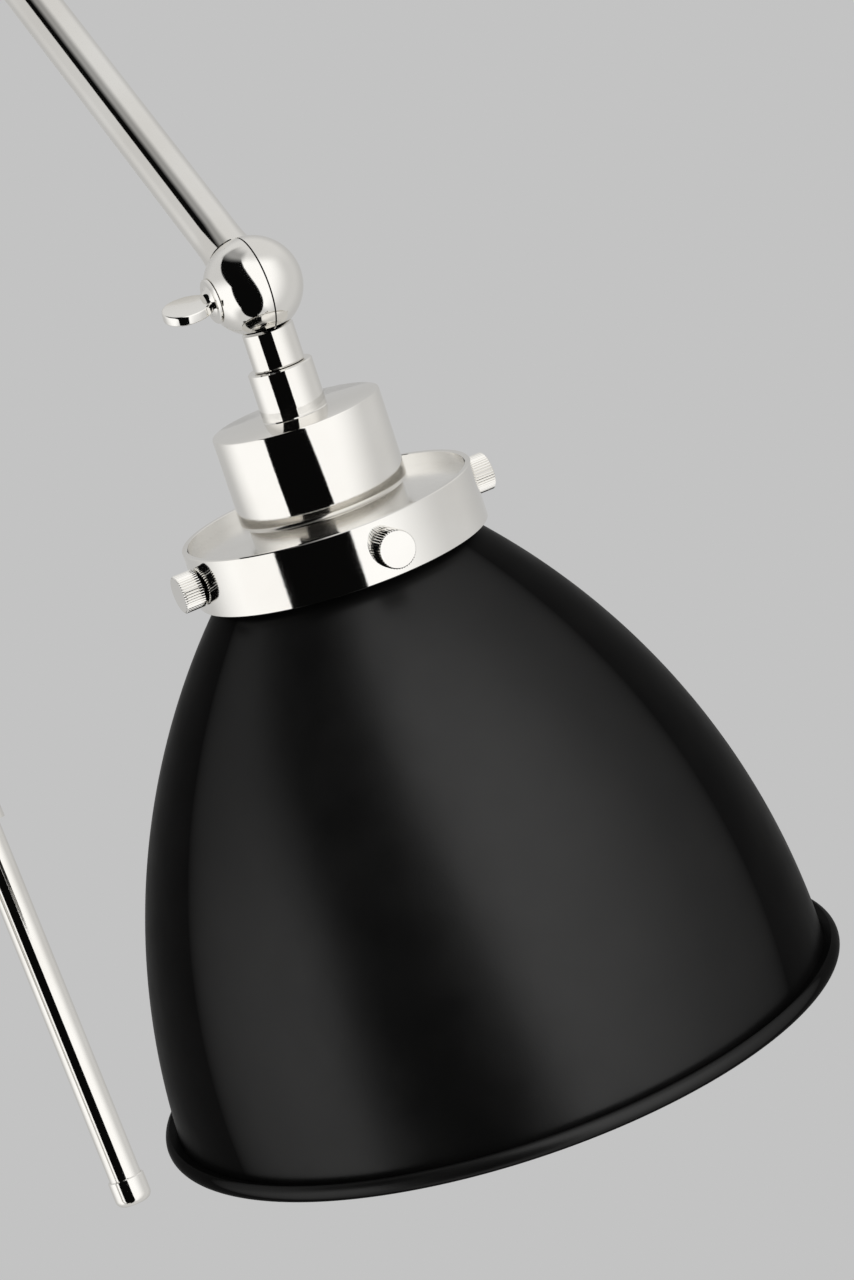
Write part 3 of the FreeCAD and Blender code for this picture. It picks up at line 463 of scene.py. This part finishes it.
def satin_nickel():
    """The same nickel left with a fine satin haze, on the seldom seen fitter plate."""
    m = Nodes("satin_nickel")
    m.set(Metallic=1.0)
    m.colour(m.ramp(m.noise(45.0, 5.0), (0.80, 0.785, 0.755), (0.86, 0.85, 0.825)))
    m.roughness(m.span(m.noise(30.0, 3.0), 0.15, 0.18))
    m.bump(m.noise(900.0, 3.0), 0.000002)
    return m.material


def matte_black():
    """Fine sprayed black with a soft, slightly uneven sheen."""
    m = Nodes("matte_black")
    m.set(Metallic=0.0, IOR=1.5)
    m.colour(m.ramp(m.noise(55.0, 6.0), (0.0045, 0.0045, 0.0046), (0.007, 0.0069, 0.0068)))
    m.roughness(m.span(m.noise(90.0, 5.0), 0.30, 0.36))
    facing = m.tree.nodes.new("ShaderNodeLayerWeight")
    facing.inputs["Blend"].default_value = 0.5
    m.link(m.span(facing.outputs["Facing"], 0.5, 0.004, 0.0, 0.5), m.shader.inputs["Specular IOR Level"])
    m.bump(m.add(m.noise(2600.0, 2.0), m.cells(1900.0)), 0.00001, 0.5)
    return m.material


def white_enamel():
    m = Nodes("white_enamel")
    m.set(Metallic=0.0, IOR=1.5)
    m.colour(m.ramp(m.noise(22.0, 4.0), (0.76, 0.75, 0.72), (0.83, 0.825, 0.80)))
    m.roughness(m.span(m.noise(120.0, 4.0), 0.26, 0.4))
    m.bump(m.noise(700.0, 3.0), 0.00002, 0.5)
    return m.material


def grained(name, low, high, scale, rough, depth, metallic=0.0, cells=None):
    """A plainly textured finish: its colour, gloss and relief all follow grain of one scale."""
    m = Nodes(name)
    m.set(Metallic=metallic)
    grain = m.noise(scale, 6.0, 0.6)
    m.colour(m.ramp(grain, low, high))
    m.roughness(m.span(m.noise(scale * 0.3, 4.0), rough[0], rough[1]))
    m.bump(m.add(grain, m.cells(cells)) if cells else grain, depth)
    return m.material


# Name: dark, light, grain scale, roughness range, relief, metallic, scale of the cells
GRAINS = {
    "cast_iron": ((0.035, 0.034, 0.033), (0.09, 0.085, 0.08), 320, (0.6, 0.8), 0.0002, 0.6, 500),
    "felt_pad": ((0.012, 0.013, 0.012), (0.035, 0.036, 0.034), 900, (0.9, 1.0), 0.0003, 0, 1400),
    "zinc_steel": ((0.45, 0.46, 0.47), (0.62, 0.62, 0.6), 140, (0.28, 0.45), 0.00002, 1.0),
    "black_rubber": ((0.012, 0.012, 0.012), (0.03, 0.03, 0.03), 260, (0.6, 0.75), 0.00004),
    "black_fibre": ((0.008, 0.008, 0.008), (0.02, 0.019, 0.018), 600, (0.75, 0.9), 0.00005),
    "wire_jacket": ((0.015, 0.015, 0.016), (0.03, 0.03, 0.03), 180, (0.4, 0.55), 0.00002),
    "white_ceramic": ((0.72, 0.71, 0.68), (0.82, 0.81, 0.79), 90, (0.18, 0.3), 0.00002),
    "lamp_brass": ((0.62, 0.44, 0.17), (0.78, 0.58, 0.27), 120, (0.22, 0.38), 0.00001, 1.0),
}
MATERIALS = {
    "polished_nickel": polished_nickel(),
    "satin_nickel": satin_nickel(),
    "matte_black": matte_black(),
    "white_enamel": white_enamel(),
}
for name, values in GRAINS.items():
    MATERIALS[name] = grained(name, *values)


def paint(piece, material):
    """Puts one material in all of an object's slots."""
    if not piece.data.materials:
        piece.data.materials.append(MATERIALS[material])
    for slot in piece.material_slots:
        slot.material = MATERIALS[material]


def mount(piece, body, material, slot_name, *nodes):
    """Finishes a new piece: its look, the body it rides on and the CAD nodes it stands for."""
    paint(piece, material)
    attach(piece, body)
    if nodes:
        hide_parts(*nodes)
    return piece


def nickel(piece, body, *nodes):
    return mount(piece, body, "polished_nickel", "polished_nickel", *nodes)


def bar(radius, start, end, rows=16):
    """Profile of a plain round bar."""
    side = [(radius, start + (end - start) * i / rows) for i in range(rows + 1)]
    return [(0, start)] + side + [(0, end)]


# ---------------------------------------------------------------------------------- head

CAP_SIDE = PIVOT * -1.0
HEAD_ARM = local(HEAD, CAP_SIDE, UPPER_DOWN * -1.0)
HEAD_NECK = local(HEAD, CAP_SIDE, SHADE_DOWN)
HEAD_WING_ROLL, PLAIN_WING_ROLL = 73.0, 25.0
NECK_SPOT, NECK_START = 10.9, 11.5       # flat on the neck half, and the collar's start beyond it
NECK_R, NECK_END, NECK_CHAMFER = 6.75, 21.2, 0.25
SLEEVE_R, SLEEVE_TOP, SLEEVE_END = 8.5, 21.35, 34.2

nickel(knuckle("head_knuckle_arm", HEAD_ARM, BALL, -1, ARM_FLARE), "upper_arm", "head_ball_arm_half")
neck = bmesh.new()
ball_part(neck, BALL, 1, NECK_SPOT)
nickel(finish_mesh("head_knuckle_neck", neck, HEAD_NECK), "head", "head_ball_neck_half")
nickel(wing("head_wing", HEAD_NECK, BALL, HEAD_WING_ROLL), "head_wing", "head_wing_screw")


def collar_edge(x):
    """Radius of the narrow collar, chamfered at its lower end."""
    chamfer_start = NECK_END - NECK_CHAMFER
    return NECK_R - NECK_CHAMFER * min(max((x - chamfer_start) / NECK_CHAMFER, 0.0), 1.0)


collar = bmesh.new()
add_stub(collar, BALL, 1, collar_edge, NECK_END, NECK_START)
nickel(finish_mesh("neck_upper_collar", collar, HEAD_NECK), "head", "neck_collar")
nickel(lathe("neck_lower_collar", SHADE_FRAME,
             [(0, SLEEVE_TOP), (SLEEVE_R - 0.3, SLEEVE_TOP), (SLEEVE_R, SLEEVE_TOP + 0.3),
              (SLEEVE_R, SLEEVE_END - 0.3), (SLEEVE_R + 0.25, SLEEVE_END), (0, SLEEVE_END)]),
       "shade_holder", "neck_sleeve")

CUP_TOP, CUP_R, CUP_END, CUP_ROUND = 34.15, 22.2, 58.85, 2.0
CUP_NECK, CUP_BORE, CUP_HOLE, PLATE_TOP = 20.6, 19.3, 4.5, 62.3
nickel(lathe("cup", SHADE_FRAME,
             [(CUP_HOLE, CUP_TOP), (CUP_R - 0.45, CUP_TOP), (CUP_R - 0.13, CUP_TOP + 0.13),
              (CUP_R, CUP_TOP + 0.45)]
             + arc((CUP_R - CUP_ROUND, CUP_END - CUP_ROUND), CUP_ROUND, 0, 90, 12)
             + [(CUP_NECK, CUP_END), (CUP_NECK, PLATE_TOP), (CUP_BORE, PLATE_TOP),
                (CUP_BORE, CUP_TOP + 2.0), (CUP_HOLE, CUP_TOP + 2.0)], FINE),
       "shade_holder", "socket_cup")
RING_R, RING_BORE, RING_TOP, RING_END = 38.6, 37.1, 59.1, 74.5
SHADE_NECK = 33.5
nickel(lathe("ring", SHADE_FRAME,
             [(RING_BORE, RING_TOP + 0.15), (RING_BORE + 0.15, RING_TOP), (RING_R - 0.25, RING_TOP),
              (RING_R, RING_TOP + 0.25), (RING_R, RING_END - 0.25), (RING_R - 0.25, RING_END),
              (RING_BORE + 0.15, RING_END), (RING_BORE, RING_END - 0.15)], FINE),
       "shade_holder", "fitter_ring")
for index in range(4):
    angle = math.radians(90.0 * index)
    outward = PIVOT * math.cos(angle) + SHADE_DOWN.cross(PIVOT) * math.sin(angle)
    place = local(HEAD + SHADE_DOWN * ((RING_TOP + RING_END) / 2 * MM), outward, SHADE_DOWN)
    name = "thumbscrew_%d" % (index + 1)
    nickel(thumbscrew("ring_" + name, place, RING_R + 0.3, SHADE_NECK + 0.5),
           name, "shade_" + name)

# ---------------------------------------------------------------------------------- shade

ARC_R, SLOPE, DEPTH, WALL = 198.4, math.radians(43.8), 133.9, 1.2
ARC_ACROSS = SHADE_NECK - ARC_R * math.cos(SLOPE)
ARC_DOWN = ARC_R * math.sin(SLOPE)


def dome(offset, steps=96):
    """Points of the dome from its neck to its rim, moved in by an offset."""
    points = []
    for i in range(steps + 1):
        depth = offset + (DEPTH - offset) * i / steps
        reach = math.sqrt((ARC_R - offset) ** 2 - (ARC_DOWN - depth) ** 2)
        points.append((ARC_ACROSS + reach, RING_END + depth))
    return points


BEAD_R, BEAD = 90.15, 2.35
LIP_R, LIP_TOP, LIP_UNDER = 36.5, RING_END - 10.9, RING_END - 9.9
SKIN = 0.66                    # thickness of the black outside, over the lining
bead_centre = (BEAD_R, RING_END + DEPTH)
outer = dome(0.0)[:-1]
middle = dome(SKIN)[:-3]
inner = dome(WALL)[:-3]
black = [(SHADE_NECK - SKIN, LIP_TOP), (LIP_R - 0.3, LIP_TOP), (LIP_R, LIP_TOP + 0.3),
         (LIP_R, LIP_UNDER - 0.2), (LIP_R - 0.3, LIP_UNDER), (SHADE_NECK + 0.6, LIP_UNDER),
         (SHADE_NECK, LIP_UNDER + 0.6), (SHADE_NECK, RING_END - 0.3)]
black += outer + arc(bead_centre, BEAD, -70, 200, 40)
black += list(reversed(middle))
mount(lathe("shade_outer", SHADE_FRAME, black, 256), "shade_holder", "matte_black", "matte_black", "shade")
white = [(SHADE_NECK - WALL, LIP_TOP + 0.1), (SHADE_NECK - SKIN - 0.02, LIP_TOP + 0.1)]
white += [(r - 0.02, z) for r, z in middle] + list(reversed(inner))
mount(lathe("shade_lining", SHADE_FRAME, white, 256), "shade_holder", "white_enamel", "matte_black")

# ---------------------------------------------------------------------------------- arms

UPPER_START, UPPER_END = ELBOW_BALL + STUB, (HEAD - ELBOW).length / MM - BALL - STUB
nickel(lathe("upper_arm_rod", UPPER_FRAME, bar(ARM, UPPER_START, UPPER_END)),
       "upper_arm", "upper_arm_tube")
TAIL, CAP_R, CAP_ROUND, CAP_LENGTH, CAP_FLOOR = 170.0, 7.2, 3.2, 10.8, 3.8
LOWER_END = (ELBOW - SADDLE).length / MM - ELBOW_BALL - STUB
nickel(lathe("lower_arm_rod", LOWER_FRAME, bar(ARM, CAP_FLOOR - TAIL, LOWER_END)),
       "lower_arm", "lower_arm_tube")
nickel(lathe("tail_end", LOWER_FRAME,
             [(0, -TAIL), (CAP_R - CAP_ROUND, -TAIL)]
             + arc((CAP_R - CAP_ROUND, CAP_ROUND - TAIL), CAP_ROUND, -90, 0, 10)
             + [(CAP_R, CAP_LENGTH - 0.4 - TAIL), (CAP_R - 0.3, CAP_LENGTH - TAIL),
                (ARM + 0.01, CAP_LENGTH - TAIL), (ARM + 0.01, CAP_FLOOR + 0.2 - TAIL),
                (0, CAP_FLOOR + 0.2 - TAIL)]),
       "lower_arm", "tail_cap")
nickel(knuckle("elbow_knuckle_lower", local(ELBOW, CAP_SIDE, LOWER_UP * -1.0), ELBOW_BALL, -1),
       "lower_arm", "elbow_ball_lower_half")
nickel(knuckle("elbow_knuckle_upper", local(ELBOW, CAP_SIDE, UPPER_DOWN), ELBOW_BALL, 1),
       "upper_arm", "elbow_ball_upper_half")
nickel(wing("elbow_wing", local(ELBOW, CAP_SIDE, UPPER_DOWN), ELBOW_BALL, PLAIN_WING_ROLL),
       "elbow_wing", "elbow_wing_screw")

# ---------------------------------------------------------------------------------- post

POST_MOVING = local(POST, TILT * -1.0, PIVOT)
POST_FIXED = local(POST, TILT * -1.0, UP * -1.0)
POST_NECK_END, FLANGE_R, SPINDLE_R, SPINDLE_END, SPIGOT_R, SPIGOT_END = 22.7, 10.4, 5.0, 65.3, 4.4, 21.75
SADDLE_LOCK, SADDLE_LOCK_SEAT, SADDLE_LOCK_TIP = 18.5, 8.3, 4.9
SWIVEL_LOCK_SEAT, SWIVEL_LOCK_TIP = 12.8, 5.5
nickel(wing("post_wing", POST_MOVING, BALL, PLAIN_WING_ROLL), "post_wing", "post_wing_screw")


fixed = bmesh.new()
ball_part(fixed, BALL, -1)
add_stub(fixed, BALL, -1, lambda x: ARM, POST_NECK_END)
piece = finish_mesh("post_knuckle_fixed", fixed, POST_FIXED)
nickel(piece, "stem_swivel", "post_ball_lower_half")
nickel(lathe("post_flange", POST_FRAME,
             [(0, -22.6), (9.3, -22.6), (9.9, -22.8), (FLANGE_R, -23.4), (FLANGE_R, -27.4),
              (10.2, -27.7), (SPINDLE_R, -27.7), (SPINDLE_R, -SPINDLE_END), (0, -SPINDLE_END)]),
       "stem_swivel")
moving = bmesh.new()
ball_part(moving, BALL, 1)
add_stub(moving, BALL, 1, lambda x: SPIGOT_R, SPIGOT_END)
nickel(finish_mesh("post_knuckle_moving", moving, POST_MOVING), "arm_tilt", "post_ball_saddle_half")

SADDLE_ACROSS = local(POST, PIVOT, LOWER_UP)
lock_way = SADDLE_ACROSS.to_3x3() @ Vector((0, 1, 0))
lock_place = local(POST + PIVOT * (SADDLE_LOCK * MM), lock_way, LOWER_UP)
nickel(thumbscrew("saddle_lock_head", lock_place, SADDLE_LOCK_SEAT, SADDLE_LOCK_TIP),
       "saddle_lock", "saddle_thumbscrew")
low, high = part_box("swivel_lock_screw")
swivel_z = (low[2] + high[2]) / 2
swivel_place = local(Vector((0, 0, swivel_z)), TILT, UP)
nickel(thumbscrew("swivel_lock_head", swivel_place, SWIVEL_LOCK_SEAT, SWIVEL_LOCK_TIP),
       "swivel_lock", "swivel_lock_screw")

# ---------------------------------------------------------------------------------- stem and base

STEM = 9.525
SPLIT_R, SPLIT_HALF = 11.6, 7.0
COLLAR_R, COLLAR_LENGTH, COLLAR_PLUG, COLLAR_PLUG_R = 12.5, 15.0, 16.0, 8.02
BORE_R = 5.06                  # hole for the spindle and for the tie nipple
FOOT_R, FOOT_RIM, FOOT_HEIGHT = 24.0, 3.0, 14.0
split = centre("stem_split_ring").z / MM
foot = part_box("stem_foot_collar")[0][2] / MM
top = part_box("stem_tube_upper")[1][2] / MM
nickel(lathe("stem_lower", FLOOR_FRAME, bar(STEM, foot + 4.0, split)), "base",
       "stem_tube_lower", "stem_coupler", "stem_foot_plug")
nickel(lathe("stem_upper", FLOOR_FRAME, bar(STEM, split, top)), "base", "stem_tube_upper")
nickel(lathe("stem_ring", FLOOR_FRAME,
             [(STEM, split - SPLIT_HALF), (10.6, split - SPLIT_HALF), (11.4, split - 6.5),
              (SPLIT_R, split - 6.0), (SPLIT_R, split - 0.7), (11.2, split - 0.3), (11.2, split + 0.3),
              (SPLIT_R, split + 0.7), (SPLIT_R, split + 6.0), (11.4, split + 6.5),
              (10.6, split + SPLIT_HALF), (STEM, split + SPLIT_HALF)]), "base", "stem_split_ring")
nickel(lathe("stem_top_collar", FLOOR_FRAME,
             [(0, top - COLLAR_PLUG), (COLLAR_PLUG_R, top - COLLAR_PLUG), (COLLAR_PLUG_R, top),
              (COLLAR_R - 0.3, top), (COLLAR_R, top + 0.3), (COLLAR_R, top + COLLAR_LENGTH - 0.3),
              (COLLAR_R - 0.3, top + COLLAR_LENGTH), (BORE_R, top + COLLAR_LENGTH),
              (BORE_R, top + 1.0), (0, top + 1.0)]), "base", "stem_head_collar")
FOOT_WAIST = STEM + 2.5
COVE_WIDE, COVE_HIGH = FOOT_R - 1.0 - FOOT_WAIST, FOOT_HEIGHT - FOOT_RIM
cove = [(FOOT_WAIST + COVE_WIDE * (1 - math.cos(math.radians(a))),
         foot + FOOT_RIM + COVE_HIGH * (1 - math.sin(math.radians(a)))) for a in range(90, -1, -6)]
nickel(lathe("stem_foot", FLOOR_FRAME,
             [(5.0, foot), (FOOT_R - 0.3, foot), (FOOT_R, foot + 0.3), (FOOT_R, foot + 2.6),
              (FOOT_R - 0.4, foot + FOOT_RIM)] + cove + [(5.0, foot + FOOT_HEIGHT)], FINE),
       "base", "stem_foot_collar")

BASE_R, BASE_ROUND, BASE_WALL, GROMMET_HOLE = 146.0, 6.0, 1.5, 4.8
base_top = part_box("base_cover")[1][2] / MM
base_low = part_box("base_cover")[0][2] / MM
shoulder = (BASE_R - BASE_ROUND, base_top - BASE_ROUND)
cover = lathe("base_shell", FLOOR_FRAME,
              [(BASE_R, base_low)] + arc(shoulder, BASE_ROUND, 0, 90, 24)
              + [(90.0, base_top), (FOOT_R, base_top), (BORE_R, base_top), (BORE_R, base_top - BASE_WALL),
                 (BASE_R - BASE_ROUND, base_top - BASE_WALL)]
              + arc(shoulder, BASE_ROUND - BASE_WALL, 90, 0, 12) + [(BASE_R - BASE_WALL, base_low)], 256)
exit_z = centre("cord_grommet").z
bored(cover, (0, (BASE_R - 8.0) * MM, exit_z), (0, (BASE_R + 4.0) * MM, exit_z), GROMMET_HOLE)
nickel(cover, "base", "base_cover")

# ---------------------------------------------------------------------------------- carried CAD nodes

CARRIED = {
    "base_weight": "cast_iron", "base_pad": "felt_pad", "base_tie_nipple": "zinc_steel",
    "base_tie_washer": "zinc_steel", "base_tie_nut": "zinc_steel", "cord_grommet": "black_rubber",
    "spindle_nut": "zinc_steel", "post_friction_washer": "black_fibre", "arm_saddle": "polished_nickel",
    "saddle_grub_screws": "zinc_steel", "lower_arm_wire": "wire_jacket", "upper_arm_wire": "wire_jacket",
    "elbow_friction_washer": "black_fibre", "head_friction_washer": "black_fibre", "neck_nut": "zinc_steel",
    "fitter_plate": "satin_nickel", "lampholder_body": "white_ceramic", "lampholder_shell": "lamp_brass",
    "lampholder_contact": "lamp_brass", "lampholder_terminals": "lamp_brass",
}
for name, material in CARRIED.items():
    paint(frame["nodes"][name], material)

# ---------------------------------------------------------------------------------- stage

FLOOR_HALF = 12.0              # metres
BACKDROP = 0.546               # what the camera sees behind the lamp
WHITE_LEVEL = 1.22             # the two softboxes
OVERHEAD_LEVEL = 0.80
SIDE_LEVEL = 0.70
GREY_LEVEL = 0.55              # behind the lamp
PATCH_LEVEL = 0.36             # dim patch between the left softbox and overhead
DARK_LEVEL = 0.003             # the dark camera side
EDGE = 1.2                     # half of a softbox edge's blur, degrees
RIGHT_START, RIGHT_SLOPE = 1.5, -0.72    # dark zone's right edge: azimuth at level, and per degree of rise
LEFT_START, LEFT_SLOPE = -50.0, 0.9


def add_floor():
    mesh = bmesh.new()
    bmesh.ops.create_grid(mesh, x_segments=8, y_segments=8, size=FLOOR_HALF)
    data = bpy.data.meshes.new("floor")
    mesh.to_mesh(data)
    mesh.free()
    floor = bpy.data.objects.new("floor", data)
    bpy.context.scene.collection.objects.link(floor)
    m = Nodes("pale_floor")
    m.colour(m.ramp(m.noise(3.0, 3.0), (0.67, 0.67, 0.67), (0.69, 0.69, 0.69)))
    m.roughness(m.span(m.noise(40.0, 4.0), 0.75, 0.9))
    m.bump(m.noise(400.0, 3.0), 0.00005)
    floor.data.materials.append(m.material)
    floor.visible_glossy = False
    floor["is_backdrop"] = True


def add_studio():
    """Grey backdrop for the camera; for everything else, white softboxes round a dark camera side.

    The light depends on its direction only: azimuth in degrees from the camera's side, towards +X, and
    rise above level.
    """
    world = bpy.data.worlds.new("studio")
    bpy.context.scene.world = world
    world.use_nodes = True
    tree = world.node_tree
    tree.nodes.clear()
    new, link = tree.nodes.new, tree.links.new

    def math_node(operation, a, b=None, c=None):
        node = new("ShaderNodeMath")
        node.operation = operation
        for socket, value in zip(node.inputs, (a, b, c)):
            if value is None:
                continue
            if isinstance(value, (int, float)):
                socket.default_value = value
            else:
                link(value, socket)
        return node.outputs[0]

    def step(value, start, end):
        node = new("ShaderNodeMapRange")
        node.interpolation_type = "SMOOTHSTEP"
        node.inputs["From Min"].default_value = start
        node.inputs["From Max"].default_value = end
        link(value, node.inputs["Value"])
        return node.outputs["Result"]

    split_node = new("ShaderNodeSeparateXYZ")
    link(new("ShaderNodeTexCoord").outputs["Generated"], split_node.inputs[0])
    x, y, z = split_node.outputs
    azimuth = math_node("MULTIPLY", math_node("ARCTAN2", x, math_node("MULTIPLY", y, -1.0)), 180 / math.pi)
    rise = math_node("MULTIPLY", math_node("ARCSINE", z), 180 / math.pi)

    def times(*factors):
        product = factors[0]
        for factor in factors[1:]:
            product = math_node("MULTIPLY", product, factor)
        return product

    def below(value, start, end):
        return math_node("SUBTRACT", 1.0, step(value, start, end))

    def towards(level, target, amount):
        """Level moved to a target by an amount from 0 to 1."""
        change = math_node("SUBTRACT", target, level)
        return math_node("ADD", level, math_node("MULTIPLY", change, amount))

    right_edge = math_node("ADD", math_node("MULTIPLY", rise, RIGHT_SLOPE), RIGHT_START)
    lean = math_node("MAXIMUM", math_node("ADD", rise, 10.0), 0.0)
    sink = math_node("MAXIMUM", math_node("SUBTRACT", -58.0, rise), 0.0)
    left_lean = math_node("MULTIPLY", lean, LEFT_SLOPE)
    left_edge = math_node("SUBTRACT", math_node("SUBTRACT", LEFT_START, left_lean), sink)
    past_right = math_node("SUBTRACT", azimuth, right_edge)
    past_left = math_node("SUBTRACT", azimuth, left_edge)
    dark = times(step(past_left, -EDGE, EDGE), below(past_right, -EDGE, EDGE), below(rise, 40.0, 53.0))
    right_box = times(step(past_right, -EDGE, EDGE), below(azimuth, 38.0, 95.0), step(rise, -66.0, -50.0),
                      below(rise, 38.0, 62.0))
    left_box = times(below(past_left, -EDGE, EDGE), step(azimuth, -140.0, -95.0), step(rise, -68.0, -50.0),
                     below(rise, -14.0, 12.0))
    soft_patch = times(step(azimuth, -112.0, -95.0), below(azimuth, -44.0, -16.0), step(rise, 40.0, 45.0),
                       below(rise, 58.0, 78.0))
    level = towards(SIDE_LEVEL, OVERHEAD_LEVEL, step(rise, 30.0, 60.0))
    level = towards(level, GREY_LEVEL, step(y, 0.35, 0.98))
    level = towards(level, WHITE_LEVEL, right_box)
    level = towards(level, WHITE_LEVEL, left_box)
    level = towards(level, PATCH_LEVEL, soft_patch)
    level = towards(level, DARK_LEVEL, dark)
    studio = new("ShaderNodeBackground")
    studio.inputs["Color"].default_value = (1.0, 0.995, 0.985, 1)
    link(level, studio.inputs["Strength"])
    plain = new("ShaderNodeBackground")
    plain.inputs["Color"].default_value = (BACKDROP, BACKDROP, BACKDROP, 1)
    mix = new("ShaderNodeMixShader")
    link(new("ShaderNodeLightPath").outputs["Is Camera Ray"], mix.inputs[0])
    link(studio.outputs[0], mix.inputs[1])
    link(plain.outputs[0], mix.inputs[2])
    link(mix.outputs[0], new("ShaderNodeOutputWorld").inputs[0])


add_floor()
add_studio()

CAMERA_AT = (0.2004, -1.6277, 0.7465)
CAMERA_WAY = (0.0, 0.9921, 0.1256)
CAMERA_UP = (0.0045, -0.1256, 0.9921)
LENS = 121.74
camera_data = bpy.data.cameras.new("camera")
camera_data.sensor_width = 36.0
camera_data.lens = LENS
camera_data.clip_end = 100.0
camera = bpy.data.objects.new("camera", camera_data)
bpy.context.scene.collection.objects.link(camera)
forward = Vector(CAMERA_WAY).normalized()
right = forward.cross(Vector(CAMERA_UP)).normalized()
camera_up = right.cross(forward)
camera.matrix_world = (Matrix.Translation(CAMERA_AT)
                       @ Matrix((right, camera_up, forward * -1.0)).transposed().to_4x4())
bpy.context.scene.camera = camera
bpy.context.scene.view_settings.view_transform = "Standard"


def plain(bounds):
    return [[float(value) for value in corner] for corner in bounds]


{"cad": plain(CAD_BOUNDS), "visual": plain(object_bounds())}
